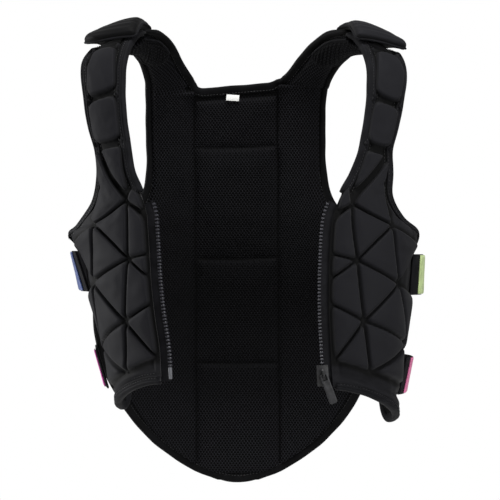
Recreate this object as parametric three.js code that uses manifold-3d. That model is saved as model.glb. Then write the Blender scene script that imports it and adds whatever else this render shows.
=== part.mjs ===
// An equestrian body protector hanging open at the front: two padded front panels with a separating zip,
// a mesh-lined padded back panel with a long rounded tail, shoulder flaps and elastic side straps.
// Millimetres, +Z up, +X to the right as seen from the front, the front faces -Y.
// The origin lies midway between the undersides of the two shoulder crests, on the line that it hangs from.
import * as THREE from "three";
import Module from "manifold-3d";

const wasm = await Module();
wasm.setup();

// Driving dimensions
const PANEL_THICK = 7;        // front panel between its blocks: foam, cloth and lining
const BLOCK_RELIEF = 7;       // how far a foam block stands out of the front panel
const BLOCK_BEVEL = 3;        // rounded rim of a foam block
const GROOVE = 2.6;           // flat width of a groove between two blocks
const BACK_HALF = 2.5;        // half the back panel's thickness at its seams
const PAD_RELIEF = 6;         // how far the back's inner pads stand towards the wearer
const BACK_RELIEF = 4;        // the same on the back's outer face
const SEAM_AT = 52;           // the back's upright seams, from its middle line
const BINDING = 3.7;          // how far the edge binding reaches past the panel
const GAP = 0.3;              // air between neighbouring pieces
const BINDING_GAP = 0.5;      // the same beside the edge binding, which bends more
const TAPE_WIDTH = 8.4;       // zip tape that shows beside the cloth edge
const TAPE_THICK = 1.2;
const TOOTH_PITCH = 4;
const TOOTH_REACH = 3.6;      // a tooth's reach past the tape
const TOOTH_THICK = 4;
const STRAP_THICK = 3;
const TAB_THICK = 1.6;
const TAB_START = 0.12;       // the part of a side strap's length at which its pull tab begins
const TAB_END = 0.42;         // and at which it ends
const RAD = Math.PI / 180;

// Front panels, from the shoulder crest down to the hem. x, y and z are the edge next to the zip, face is how far
// the cloth turns to the side there, pitch how far it looks up, width the cloth from that edge to the side edge,
// turn how far it has wrapped round by then, and dip how much lower the side edge lies.
const LEFT_ROWS = [
  { x: -118, y: -0.6, z: 8, face: 0, pitch: 90, width: 54, turn: 8, dip: 18 },
  { x: -128, y: -33, z: -1, face: 12, pitch: 60, width: 57, turn: 10, dip: 15 },
  { x: -138, y: -58, z: -26, face: 14, pitch: 30, width: 58, turn: 14, dip: 10 },
  { x: -141, y: -74, z: -66, face: 16, pitch: 4, width: 57, turn: 20, dip: 4 },
  { x: -138, y: -82, z: -110, face: 18, pitch: -2, width: 55, turn: 24, dip: 0 },
  { x: -133, y: -88, z: -142, face: 20, pitch: -4, width: 52, turn: 26, dip: 0 },
  { x: -129, y: -93, z: -166, face: 22, pitch: -2, width: 56, turn: 30, dip: 4 },
  { x: -119, y: -99, z: -190, face: 23, pitch: 0, width: 80, turn: 36, dip: 12 },
  { x: -114, y: -103, z: -210, face: 24, pitch: 0, width: 120, turn: 46, dip: 18 },
  { x: -112, y: -107, z: -232, face: 24, pitch: 0, width: 156, turn: 62, dip: 8 },
  { x: -110, y: -111, z: -262, face: 24, pitch: 0, width: 156, turn: 82, dip: 2 },
  { x: -108, y: -114, z: -293, face: 24, pitch: 0, width: 152, turn: 86, dip: 2 },
  { x: -104, y: -118, z: -330, face: 24, pitch: 0, width: 144, turn: 98, dip: 8 },
  { x: -98, y: -119, z: -372, face: 24, pitch: 0, width: 139, turn: 114, dip: 24 },
  { x: -96, y: -118, z: -412, face: 24, pitch: 0, width: 138, turn: 128, dip: 42 },
];
const RIGHT_ROWS = [
  { x: 118, y: -0.4, z: 6, face: 0, pitch: 90, width: 54, turn: 8, dip: 20 },
  { x: 129, y: -33, z: -5, face: 8, pitch: 60, width: 54, turn: 10, dip: 17 },
  { x: 140, y: -58, z: -32, face: 8, pitch: 30, width: 50, turn: 14, dip: 12 },
  { x: 141, y: -74, z: -72, face: 8, pitch: 4, width: 48, turn: 18, dip: 4 },
  { x: 136, y: -82, z: -112, face: 8, pitch: -2, width: 46, turn: 22, dip: 0 },
  { x: 130, y: -88, z: -142, face: 8, pitch: -4, width: 45, turn: 26, dip: 0 },
  { x: 120, y: -93, z: -168, face: 8, pitch: -2, width: 57, turn: 32, dip: 2 },
  { x: 108, y: -99, z: -190, face: 8, pitch: 0, width: 72, turn: 40, dip: 6 },
  { x: 102, y: -103, z: -210, face: 7, pitch: 0, width: 100, turn: 56, dip: 10 },
  { x: 98, y: -107, z: -232, face: 7, pitch: 0, width: 145, turn: 78, dip: 6 },
  { x: 96, y: -111, z: -262, face: 7, pitch: 0, width: 158, turn: 98, dip: 2 },
  { x: 95, y: -114, z: -293, face: 7, pitch: 0, width: 163, turn: 109, dip: 2 },
  { x: 95, y: -118, z: -330, face: 7, pitch: 0, width: 165, turn: 119, dip: 8 },
  { x: 97, y: -119, z: -372, face: 7, pitch: 0, width: 159, turn: 137, dip: 26 },
  { x: 100, y: -118, z: -420, face: 7, pitch: 0, width: 163, turn: 152, dip: 50 },
];
const ZIP_TOP = 7;            // the row at which the zip begins

// Back panel, from the shoulder crest down to the tail. mid is its middle line's x, neck and arm are how far its
// inner and outer edges lie from that line, and the rest is as above.
const BACK_ROWS = [
  { mid: 0, y: 0.6, z: 5, neck: 118, arm: 172, turn: 6, pitch: 90, dip: 18 },
  { mid: -2, y: 34, z: 3, neck: 99, arm: 144, turn: 8, pitch: 72, dip: 17 },
  { mid: -5, y: 63, z: -5, neck: 83, arm: 131, turn: 10, pitch: 54, dip: 13 },
  { mid: -8, y: 86, z: -21, neck: 71, arm: 122, turn: 12, pitch: 40, dip: 10 },
  { mid: -10, y: 101, z: -38, neck: 59, arm: 117, turn: 14, pitch: 24, dip: 6 },
  { mid: -11, y: 108, z: -48, neck: 50, arm: 116, turn: 14, pitch: 16, dip: 4 },
  { mid: -12, y: 110, z: -54, neck: 48, arm: 115, turn: 14, pitch: 12, dip: 4 },
  { mid: -13, y: 117, z: -84, neck: 0, arm: 114, turn: 16, pitch: 5, dip: 0 },
  { mid: -13, y: 121, z: -120, neck: 0, arm: 114, turn: 18, pitch: 2, dip: 0 },
  { mid: -12, y: 123, z: -160, neck: 0, arm: 115, turn: 22, pitch: 0, dip: 0 },
  { mid: -12, y: 124, z: -190, neck: 0, arm: 126, turn: 32, pitch: 0, dip: 6 },
  { mid: -12, y: 124, z: -215, neck: 0, arm: 158, turn: 50, pitch: 0, dip: 12 },
  { mid: -12, y: 124, z: -245, neck: 0, arm: 196, turn: 68, pitch: 0, dip: 12 },
  { mid: -11, y: 123, z: -300, neck: 0, arm: 200, turn: 66, pitch: -1, dip: 6 },
  { mid: -11, y: 121, z: -350, neck: 0, arm: 194, turn: 56, pitch: -2, dip: 2 },
  { mid: -11, y: 119, z: -400, neck: 0, arm: 178, turn: 44, pitch: -2, dip: 0 },
  { mid: -10, y: 118, z: -440, neck: 0, arm: 156, turn: 34, pitch: -2, dip: 0 },
  { mid: -10, y: 117, z: -475, neck: 0, arm: 130, turn: 24, pitch: -1, dip: 0 },
  { mid: -10, y: 117, z: -505, neck: 0, arm: 98, turn: 14, pitch: 0, dip: 0 },
  { mid: -10, y: 117, z: -530, neck: 0, arm: 60, turn: 6, pitch: 0, dip: 0 },
  { mid: -10, y: 117, z: -546, neck: 0, arm: 20, turn: 0, pitch: 0, dip: 0 },
];
const NECKLINE = 6;           // the row of the neckline between the two shoulder straps

// Shoulder flaps, from the front lip back over the crest. thick is the padding there.
const LEFT_FLAP = [
  { x: -130, y: -47, z: 1, face: 8, pitch: 46, width: 60, turn: 30, dip: 7, thick: 4 },
  { x: -127, y: -36, z: 10, face: 8, pitch: 58, width: 64, turn: 34, dip: 7, thick: 7 },
  { x: -124, y: -19, z: 17, face: 6, pitch: 76, width: 66, turn: 38, dip: 7, thick: 8.5 },
  { x: -121, y: 0, z: 19, face: 4, pitch: 90, width: 64, turn: 40, dip: 7, thick: 8.5 },
  { x: -112, y: 20, z: 16.5, face: 0, pitch: 102, width: 60, turn: 36, dip: 9, thick: 7 },
  { x: -102, y: 36, z: 11.5, face: 0, pitch: 108, width: 52, turn: 26, dip: 11, thick: 4 },
];
const RIGHT_FLAP = [
  { x: 130, y: -47, z: -2, face: 6, pitch: 46, width: 62, turn: 30, dip: 9, thick: 4 },
  { x: 127, y: -36, z: 8, face: 6, pitch: 58, width: 66, turn: 34, dip: 9, thick: 7 },
  { x: 124, y: -19, z: 16, face: 5, pitch: 76, width: 68, turn: 38, dip: 9, thick: 8.5 },
  { x: 121, y: 0, z: 19, face: 4, pitch: 90, width: 66, turn: 40, dip: 9, thick: 8.5 },
  { x: 108, y: 20, z: 18, face: 0, pitch: 102, width: 60, turn: 36, dip: 11, thick: 7 },
  { x: 98, y: 36, z: 13, face: 0, pitch: 108, width: 50, turn: 26, dip: 13, thick: 4 },
];

// Corners of the sewn pattern on the front panels: mm across the cloth from the edge next to the zip, and mm down
// that edge from the crest.
const CORNERS = [
  { at: "P1", left: [50, 25], right: [48, 26] }, { at: "P2", left: [47, 11], right: [45, 14] },
  { at: "P3", left: [17, 16], right: [15, 21] }, { at: "P4", left: [12, 70], right: [11, 76] },
  { at: "P5", left: [47, 78], right: [41, 86] }, { at: "Q1", left: [47, 82], right: [41, 90] },
  { at: "Q2", left: [12, 75], right: [10, 81] }, { at: "Q3", left: [11, 129], right: [8, 134] },
  { at: "Q4", left: [46, 136], right: [39, 141] }, { at: "R1", left: [47, 140], right: [40, 147] },
  { at: "R2", left: [41, 143], right: [37, 154] }, { at: "R3", left: [78, 206], right: [68, 209] },
  { at: "R4", left: [52, 176], right: [48, 176] }, { at: "S1", left: [39, 140], right: [34, 147] },
  { at: "S2", left: [13, 136], right: [10, 141] }, { at: "S3", left: [13, 178], right: [10, 176] },
  { at: "S4", left: [20, 191], right: [16, 190] }, { at: "T1", left: [12, 184], right: [8, 181] },
  { at: "T2", left: [5, 192], right: [4, 192] }, { at: "T3", left: [5, 214], right: [4, 214] },
  { at: "A", left: [23, 198], right: [19, 204] }, { at: "B", left: [74, 221], right: [74, 225] },
  { at: "C", left: [27, 267], right: [32, 269] }, { at: "D", left: [85, 293], right: [89, 295] },
  { at: "E", left: [38, 337], right: [40, 337] }, { at: "F", left: [46, 390], right: [45, 390] },
  { at: "G", left: [98, 355], right: [112, 353] }, { at: "H", left: [128, 244], right: [130, 246] },
  { at: "I", left: [128, 312], right: [142, 312] }, { at: "J", left: [108, 391], right: [116, 388] },
  { at: "K", left: [126, 366], right: [142, 364] }, { at: "Z1", left: [5, 222], right: [4, 222] },
  { at: "Z2", left: [5, 262], right: [4, 262] }, { at: "Z3", left: [5, 288], right: [4, 290] },
  { at: "Z4", left: [5, 319], right: [4, 319] }, { at: "Z5", left: [5, 379], right: [5, 378] },
];
const BLOCKS = [
  "P1 P2 P3 P4 P5", "Q1 Q2 Q3 Q4", "R1 R2 A B R3 R4", "S1 S2 S3 S4", "T1 T2 T3 A", "A Z1 Z2 C", "A C B", "B C D",
  "C Z2 Z3", "C Z3 Z4 E", "E Z4 Z5", "E Z5 F", "C E D", "D E G", "E F G", "B D H", "D G I", "G K I", "F J G",
];

// Side straps, from the front end to the back end, as the inner face seen from above. lean is how much nearer the
// middle the lower edge lies than the upper edge.
const SIDE_STRAPS = [
  { name: "upper_left", side: -1, top: -258, tall: 48, from: [-199, -42], bend: [[-211, -14], [-208, 36]], to: [-187, 66], lean: [16, 2], colour: 0x2b57b5 },
  { name: "lower_left", side: -1, top: -374, tall: 46, from: [-174.5, -44], bend: [[-177, -20], [-180, 34]], to: [-184, 72], lean: [14, 10], colour: 0xd64fb0 },
  { name: "upper_right", side: 1, top: -262, tall: 48, from: [195.5, -46], bend: [[221, -22], [212, 30]], to: [160.5, 64], lean: [4, -2], colour: 0xb9dc63 },
  { name: "lower_right", side: 1, top: -383, tall: 44, from: [187.5, -48], bend: [[202, -26], [200, 30]], to: [158.5, 84], lean: [10, 6], colour: 0xe8559a },
];

// The zip slider and its pull tab, in their own frame: X across, Y out of the cloth, Z along the zip.
const SLIDER = { wide: 13, tall: 24, plate: 1.6, mouth: 2.8, wedge: 3.5 };
const BAIL = { wide: 2.4, tall: 9, high: 4.2, bar: 1.4 };
const PULL = { wide: 9, tall: 36, thick: 1.8, slot: 5.4, slotTall: 7.5, lean: 17 };
const LABEL = { wide: 16, tall: 7.5, thick: 0.6 };

const smooth = (q) => q * q * (3 - 2 * q);

// One column of a row table at the fractional row t, on a Catmull-Rom curve.
function column(rows, key, t) {
  const last = rows.length - 1;
  const v = Math.min(Math.max(t, 0), last);
  const i = Math.min(Math.floor(v), last - 1);
  const f = v - i;
  const b = rows[i][key], c = rows[i + 1][key];
  const a = i > 0 ? rows[i - 1][key] : 2 * b - c;
  const d = i + 2 <= last ? rows[i + 2][key] : 2 * c - b;
  return 0.5 * (2 * b + (c - a) * f + (2 * a - 5 * b + 4 * c - d) * f * f + (3 * b - a - 3 * c + d) * f * f * f);
}

// The fractional row at which a table's z has come down to a given depth.
function rowAtDepth(rows, depth) {
  let low = 0, high = rows.length - 1;
  for (let k = 0; k < 40; k++) {
    const mid = (low + high) / 2;
    if (-column(rows, "z", mid) < depth) low = mid; else high = mid;
  }
  return (low + high) / 2;
}

// The two lengths that an arc of cloth covers along and across its starting direction when it turns ever faster.
function arc(length, share, turn, power) {
  const steps = 20;
  let along = 0, off = 0;
  for (let k = 0; k < steps; k++) {
    const angle = turn * RAD * Math.pow(share * (k + 0.5) / steps, power);
    along += Math.cos(angle) * length / steps;
    off += Math.sin(angle) * length / steps;
  }
  return [along, off];
}

// A point of a front panel's or flap's outer face, across mm from its inner edge on row t.
function frontPoint(rows, side, t, across) {
  const g = (key) => column(rows, key, t);
  const face = g("face") * RAD, pitch = g("pitch") * RAD, share = Math.max(across, 0) / g("width");
  const away = new THREE.Vector3(side * Math.cos(face), Math.sin(face), 0);
  const out = new THREE.Vector3(side * Math.sin(face), -Math.cos(face), 0).multiplyScalar(Math.cos(pitch));
  out.z = Math.sin(pitch);
  const [along, off] = arc(across, share, g("turn"), 1.6);
  const point = new THREE.Vector3(g("x"), g("y"), g("z")).addScaledVector(away, along).addScaledVector(out, -off);
  point.z -= g("dip") * smooth(Math.min(share, 1));
  return point;
}

// A point of the back panel's middle sheet, across mm from its middle line (below 0 on the left) on row t.
function backPoint(t, across) {
  const g = (key) => column(BACK_ROWS, key, t);
  const pitch = g("pitch") * RAD, flat = Math.max(g("neck"), 50), side = across < 0 ? -1 : 1, s = Math.abs(across);
  const point = new THREE.Vector3(g("mid") + across, g("y"), g("z"));
  if (s > flat) {
    const share = Math.max(s - flat, 0) / Math.max(g("arm") - flat, 1);
    const [along, off] = arc(s - flat, share, g("turn"), 1.3);
    point.x = g("mid") + side * (flat + along);
    point.y -= off * Math.cos(pitch);
    point.z -= off * Math.sin(pitch) + g("dip") * smooth(Math.min(share, 1));
  }
  return point;
}

// A sheet lifted off itself: at(t, across) gives the sheet, sign makes the normal face out of the garment.
function lifted(at, sign, last) {
  return (t, across, lift) => {
    const e = 0.02, low = Math.max(t - e, 0), high = Math.min(t + e, last);
    const down = at(high, across).sub(at(low, across));
    const over = at(t, across + 0.5).sub(at(t, across - 0.5));
    const normal = over.cross(down).normalize().multiplyScalar(sign);
    return at(t, across).addScaledVector(normal, lift);
  };
}
const leftFront = lifted((t, s) => frontPoint(LEFT_ROWS, -1, t, s), 1, LEFT_ROWS.length - 1);
const rightFront = lifted((t, s) => frontPoint(RIGHT_ROWS, 1, t, s), -1, RIGHT_ROWS.length - 1);
const back = lifted(backPoint, 1, BACK_ROWS.length - 1);

// A closed solid from loose triangles: corners that coincide are shared.
function closed(triangles) {
  const index = new Map(), vertices = [], faces = [];
  for (const triangle of triangles) {
    const ids = triangle.map((p) => {
      const key = p.x.toFixed(3) + " " + p.y.toFixed(3) + " " + p.z.toFixed(3);
      if (!index.has(key)) {
        index.set(key, vertices.length / 3);
        vertices.push(p.x, p.y, p.z);
      }
      return index.get(key);
    });
    if (ids[0] !== ids[1] && ids[1] !== ids[2] && ids[2] !== ids[0]) faces.push(...ids);
  }
  return { vertices: new Float32Array(vertices), faces: new Uint32Array(faces) };
}
const solid = (triangles) => {
  const { vertices, faces } = closed(triangles);
  return new wasm.Manifold(new wasm.Mesh({ numProp: 3, vertProperties: vertices, triVerts: faces }));
};
// Layers of foam laid over each other leave no hollow between them.
const filled = (layers) => wasm.Manifold.compose(layers.decompose().filter((body) => body.volume() > 0));
function geometryOf(vertices, faces) {
  const geometry = new THREE.BufferGeometry();
  geometry.setAttribute("position", new THREE.BufferAttribute(vertices, 3));
  geometry.setIndex(new THREE.BufferAttribute(faces, 1));
  geometry.computeVertexNormals();
  return geometry;
}
const plainGeometry = (triangles) => {
  const { vertices, faces } = closed(triangles);
  return geometryOf(vertices, faces);
};
const joinedGeometry = (manifold) => {
  const mesh = manifold.getMesh();
  const vertices = new Float32Array(mesh.numVert * 3);
  for (let i = 0; i < mesh.numVert; i++) for (let k = 0; k < 3; k++) vertices[3 * i + k] = mesh.vertProperties[i * mesh.numProp + k];
  return geometryOf(vertices, new Uint32Array(mesh.triVerts));
};

// Triangles of a closed slab between an upper and a lower grid, over the cells that are kept. flip turns it out.
function slab(upper, lower, keep, flip) {
  const out = [];
  const quad = (a, b, c, d) => {
    if (flip) out.push([a, c, b], [a, d, c]); else out.push([a, b, c], [a, c, d]);
  };
  const rows = upper.length - 1, columns = upper[0].length - 1;
  const has = (i, j) => i >= 0 && j >= 0 && i < rows && j < columns && keep(i, j);
  for (let i = 0; i < rows; i++) {
    for (let j = 0; j < columns; j++) {
      if (!has(i, j)) continue;
      quad(upper[i][j], upper[i + 1][j], upper[i + 1][j + 1], upper[i][j + 1]);
      quad(lower[i][j], lower[i][j + 1], lower[i + 1][j + 1], lower[i + 1][j]);
      if (!has(i - 1, j)) quad(upper[i][j], upper[i][j + 1], lower[i][j + 1], lower[i][j]);
      if (!has(i + 1, j)) quad(upper[i + 1][j + 1], upper[i + 1][j], lower[i + 1][j], lower[i + 1][j + 1]);
      if (!has(i, j - 1)) quad(upper[i + 1][j], upper[i][j], lower[i][j], lower[i + 1][j]);
      if (!has(i, j + 1)) quad(upper[i][j + 1], upper[i + 1][j + 1], lower[i + 1][j + 1], lower[i][j + 1]);
    }
  }
  return out;
}

// A bar swept along frames of { at, out, up }: section corners are [out, up] pairs; a closed loop has no ends.
function sweep(frames, section, loop) {
  const rings = frames.map((f) => section.map(([o, u]) => f.at.clone().addScaledVector(f.out, o).addScaledVector(f.up, u)));
  const out = [], n = section.length, count = frames.length;
  for (let k = 0; k < (loop ? count : count - 1); k++) {
    const a = rings[k], b = rings[(k + 1) % count];
    for (let i = 0; i < n; i++) {
      const j = (i + 1) % n;
      out.push([a[i], a[j], b[j]], [a[i], b[j], b[i]]);
    }
  }
  if (!loop) {
    for (let i = 1; i < n - 1; i++) {
      out.push([rings[0][0], rings[0][i + 1], rings[0][i]]);
      out.push([rings[count - 1][0], rings[count - 1][i], rings[count - 1][i + 1]]);
    }
  }
  return out;
}
const turned = (triangles) => {
  let volume = 0;
  for (const [a, b, c] of triangles) volume += a.dot(b.clone().cross(c));
  return volume < 0 ? triangles.map(([a, b, c]) => [a, c, b]) : triangles;
};

// Frames along a panel's edge: each edge point has its outer and inner face corner and a point farther inside.
function edgeFrames(points, loop) {
  const count = points.length;
  return points.map((p, k) => {
    const before = points[loop ? (k + count - 1) % count : Math.max(k - 1, 0)].top;
    const after = points[loop ? (k + 1) % count : Math.min(k + 1, count - 1)].top;
    const up = p.top.clone().sub(p.bottom).normalize();
    const one = p.top.clone().sub(before), two = after.clone().sub(p.top);
    if (one.length() < 1e-6) one.copy(two);
    if (two.length() < 1e-6) two.copy(one);
    const side = (d) => d.normalize().clone().cross(up).normalize();
    const a = side(one), b = side(two);
    const out = a.clone().add(b).normalize();
    out.multiplyScalar(Math.min(1 / Math.max(out.dot(a), 0.5), 1.5));
    if (out.dot(p.top.clone().sub(p.inside)) < 0) out.negate();
    return { at: p.top, out, up };
  });
}

// A convex or nearly convex outline moved inward by d.
function inset(outline, d) {
  const n = outline.length;
  let area = 0;
  for (let i = 0; i < n; i++) {
    const [ax, ay] = outline[i], [bx, by] = outline[(i + 1) % n];
    area += ax * by - bx * ay;
  }
  const turn = area > 0 ? 1 : -1;
  const lines = outline.map(([ax, ay], i) => {
    const [bx, by] = outline[(i + 1) % n];
    const l = Math.hypot(bx - ax, by - ay), nx = -turn * (by - ay) / l, ny = turn * (bx - ax) / l;
    return { x: ax + nx * d, y: ay + ny * d, dx: (bx - ax) / l, dy: (by - ay) / l };
  });
  return lines.map((line, i) => {
    const prev = lines[(i + n - 1) % n];
    const cross = prev.dx * line.dy - prev.dy * line.dx;
    if (Math.abs(cross) < 1e-3) return [line.x, line.y];
    const k = ((line.x - prev.x) * line.dy - (line.y - prev.y) * line.dx) / cross;
    return [prev.x + prev.dx * k, prev.y + prev.dy * k];
  });
}

// A foam block over an outline on a sheet: straight sides up to a bevelled, slightly domed top.
function foamBlock(place, outline, foot, relief) {
  const n = outline.length;
  const around = outline.reduce((sum, [x, y], i) => sum + Math.hypot(outline[(i + 1) % n][0] - x, outline[(i + 1) % n][1] - y), 0);
  const steps = around / n > 61 ? 3 : 2;
  const rings = [[inset(outline, GROOVE / 2), foot], [inset(outline, GROOVE / 2), relief - BLOCK_BEVEL * 0.8], [inset(outline, GROOVE / 2 + BLOCK_BEVEL), relief]];
  const centre = outline.reduce(([x, y], [px, py]) => [x + px / n, y + py / n], [0, 0]);
  const out = [];
  const mix = (a, b, f) => [a[0] + (b[0] - a[0]) * f, a[1] + (b[1] - a[1]) * f];
  const at = (ring, i, k) => mix(ring[i], ring[(i + 1) % n], k / steps);
  const cap = ([ring, lift], flip) => {
    const spot = (i, r, k) => (r === 0 ? centre : mix(centre, mix(ring[i], ring[(i + 1) % n], k / r), r / steps));
    for (let i = 0; i < n; i++) {
      for (let r = 0; r < steps; r++) {
        for (let k = 0; k <= r; k++) {
          const p = [spot(i, r, k), spot(i, r + 1, k), spot(i, r + 1, k + 1)].map((q) => place(q, lift));
          out.push(flip ? [p[0], p[2], p[1]] : p);
          if (k < r) {
            const q = [spot(i, r, k), spot(i, r + 1, k + 1), spot(i, r, k + 1)].map((w) => place(w, lift));
            out.push(flip ? [q[0], q[2], q[1]] : q);
          }
        }
      }
    }
  };
  cap(rings[2], false);
  cap(rings[0], true);
  for (let level = 0; level < 2; level++) {
    const [low, lowLift] = rings[level], [high, highLift] = rings[level + 1];
    for (let i = 0; i < n; i++) {
      for (let k = 0; k < steps; k++) {
        const a = place(at(low, i, k), lowLift), b = place(at(low, i, k + 1), lowLift);
        const c = place(at(high, i, k + 1), highLift), d = place(at(high, i, k), highLift);
        out.push([a, b, c], [a, c, d]);
      }
    }
  }
  return solid(turned(out));
}

// A long pad over a grid of the back panel between two rows, from and to giving its sides on each row.
function backPad(first, last, rows, columns, from, to, foot, relief) {
  const grid = (trim, lift) => {
    const lines = [];
    for (let i = 0; i <= rows; i++) {
      const f = i / rows, raw = first + (last - first) * f;
      const shift = trim * 0.03 * (1 - 2 * f);
      const t = raw + shift, a = from(raw) + trim, b = to(raw) - trim;
      lines.push(Array.from({ length: columns + 1 }, (_, j) => back(t, a + (b - a) * j / columns, lift)));
    }
    return lines;
  };
  const sign = Math.sign(relief - foot);
  const base = grid(0, foot), rim = grid(0, relief - sign * 2.5), top = grid(3, relief);
  const out = [];
  const skin = (g, flip) => {
    for (let i = 0; i < rows; i++) {
      for (let j = 0; j < columns; j++) {
        const [a, b, c, d] = [g[i][j], g[i + 1][j], g[i + 1][j + 1], g[i][j + 1]];
        if (flip) out.push([a, c, b], [a, d, c]); else out.push([a, b, c], [a, c, d]);
      }
    }
  };
  const ring = (g) => [
    ...g.slice(0, rows).map((line) => line[0]), ...g[rows].slice(0, columns),
    ...g.slice(1).reverse().map((line) => line[columns]), ...g[0].slice(1).reverse(),
  ];
  const wall = (low, high) => {
    const a = ring(low), b = ring(high);
    a.forEach((p, k) => {
      const m = (k + 1) % a.length;
      out.push([p, a[m], b[m]], [p, b[m], b[k]]);
    });
  };
  skin(top, false);
  skin(base, true);
  wall(base, rim);
  wall(rim, top);
  return solid(turned(out));
}

const model = new THREE.Group();
const cloth = (colour, roughness = 0.85) => new THREE.MeshStandardMaterial({ color: colour, roughness, metalness: 0 });
function add(name, geometry, material) {
  const mesh = new THREE.Mesh(geometry, material);
  mesh.name = name;
  model.add(mesh);
  return mesh;
}

// Front panels with their foam blocks, edge binding, zip tape and zip teeth
const zipBottom = {};
for (const [name, rows, place, key] of [["left", LEFT_ROWS, leftFront, "left"], ["right", RIGHT_ROWS, rightFront, "right"]]) {
  const last = rows.length - 1, count = 20, across = 7;
  const start = 0.13, end = last - 0.13;
  const zipRow = Math.round((ZIP_TOP - start) / (end - start) * count);
  const grid = (lift) => Array.from({ length: count + 1 }, (_, i) => {
    const t = start + (end - start) * i / count;
    const inner = i <= zipRow ? BINDING + GAP : Math.max(0, BINDING + GAP - (i - zipRow) * 2);
    const outer = column(rows, "width", t) - BINDING - GAP;
    return Array.from({ length: across + 1 }, (_, j) => place(t, inner + (outer - inner) * j / across, lift));
  });
  const top = grid(0), bottom = grid(-PANEL_THICK);
  let panel = solid(turned(slab(top, bottom, () => true, false)));
  const corner = Object.fromEntries(CORNERS.map((c) => [c.at, c[key]]));
  for (const block of BLOCKS) {
    const outline = block.split(" ").map((at) => corner[at]);
    panel = panel.add(foamBlock(([s, down], lift) => place(rowAtDepth(rows, down), s, lift), outline, -2.5, BLOCK_RELIEF));
  }

  const spot = (i, j, ii, jj) => ({ top: top[i][j], bottom: bottom[i][j], inside: top[ii][jj] });
  const path = [];
  for (let i = zipRow; i > 0; i--) path.push(spot(i, 0, i, 1));
  path.push(spot(0, 0, 1, 1));
  for (let j = 1; j < across; j++) path.push(spot(0, j, 1, j));
  path.push(spot(0, across, 1, across - 1));
  for (let i = 1; i < count; i++) path.push(spot(i, across, i, across - 1));
  path.push(spot(count, across, count - 1, across - 1));
  for (let j = across - 1; j >= 0; j--) path.push(spot(count, j, count - 1, Math.max(j, 1)));
  const section = [[BINDING_GAP, 0.6], [BINDING, -1.4], [BINDING, 1.4 - PANEL_THICK], [BINDING_GAP, -0.6 - PANEL_THICK]];
  const room = [[BINDING_GAP - GAP, 0.9], [BINDING, 0.9], [BINDING, -0.9 - PANEL_THICK], [BINDING_GAP - GAP, -0.9 - PANEL_THICK]];
  panel = panel.subtract(solid(turned(sweep(edgeFrames(path, false), room, false))));
  add(`front_panel_${name}`, joinedGeometry(filled(panel)), cloth(0x17171a, 0.8));
  add(`front_binding_${name}`, plainGeometry(turned(sweep(edgeFrames(path, false), section, false))), cloth(0x101012, 0.9));

  const zipPath = [];
  for (let i = zipRow + 1; i <= count; i++) zipPath.push(spot(i, 0, i, 1));
  const zipFrames = edgeFrames(zipPath, false);
  const middle = -PANEL_THICK / 2;
  const tape = [[GAP, middle + TAPE_THICK / 2], [TAPE_WIDTH, middle + TAPE_THICK / 2], [TAPE_WIDTH, middle - TAPE_THICK / 2], [GAP, middle - TAPE_THICK / 2]];
  add(`zip_tape_${name}`, plainGeometry(turned(sweep(zipFrames, tape, false))), cloth(0x0d0d0f, 0.9));

  // The teeth follow the tape's edge: a saw-toothed bar, one tooth each TOOTH_PITCH, that stops above the foot.
  const lengths = [0];
  for (let k = 1; k < zipFrames.length; k++) lengths.push(lengths[k - 1] + zipFrames[k].at.distanceTo(zipFrames[k - 1].at));
  const frameAt = (l) => {
    let k = 0;
    while (k < lengths.length - 2 && lengths[k + 1] < l) k++;
    const f = (l - lengths[k]) / (lengths[k + 1] - lengths[k]), a = zipFrames[k], b = zipFrames[k + 1];
    return { at: a.at.clone().lerp(b.at, f), out: a.out.clone().lerp(b.out, f), up: a.up.clone().lerp(b.up, f) };
  };
  const total = lengths[lengths.length - 1];
  const foot = name === "left" ? 14 : 26;
  const teeth = Math.floor((total - foot - 2) / TOOTH_PITCH);
  const spotAt = (l, o, u) => {
    const f = frameAt(l);
    return f.at.clone().addScaledVector(f.out, o).addScaledVector(f.up, u);
  };
  const high = middle + TOOTH_THICK / 2, low = middle - TOOTH_THICK / 2;
  const cuts = [];
  for (let k = 0; k <= teeth; k++) {
    const l = 2 + k * TOOTH_PITCH;
    cuts.push([l, TAPE_WIDTH + GAP + 1.1]);
  }
  const bar = [];
  for (let k = 0; k < cuts.length - 1; k++) {
    const [a, ao] = cuts[k], [b, bo] = cuts[k + 1], base = TAPE_WIDTH + GAP;
    const quad = (p, q, r, s) => bar.push([p, q, r], [p, r, s]);
    const tip = (u) => spotAt((a + b) / 2, base + TOOTH_REACH, u);
    quad(spotAt(a, base, high), spotAt(a, ao, high), spotAt(b, bo, high), spotAt(b, base, high));
    quad(spotAt(a, base, low), spotAt(b, base, low), spotAt(b, bo, low), spotAt(a, ao, low));
    bar.push([spotAt(a, ao, high), tip(high), spotAt(b, bo, high)], [spotAt(a, ao, low), spotAt(b, bo, low), tip(low)]);
    quad(spotAt(a, ao, high), spotAt(a, ao, low), tip(low), tip(high));
    quad(tip(high), tip(low), spotAt(b, bo, low), spotAt(b, bo, high));
    quad(spotAt(a, base, high), spotAt(b, base, high), spotAt(b, base, low), spotAt(a, base, low));
  }
  for (const [k, flip] of [[0, false], [cuts.length - 1, true]]) {
    const [l, o] = cuts[k], base = TAPE_WIDTH + GAP;
    const p = [spotAt(l, base, high), spotAt(l, base, low), spotAt(l, o, low), spotAt(l, o, high)];
    const q = flip ? [p[0], p[3], p[2], p[1]] : p;
    bar.push([q[0], q[1], q[2]], [q[0], q[2], q[3]]);
  }
  add(`zip_teeth_${name}`, plainGeometry(turned(bar)), cloth(0x26262a, 0.45));
  zipBottom[name] = { frameAt, total, middle, end: 2 + teeth * TOOTH_PITCH };
}

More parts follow.
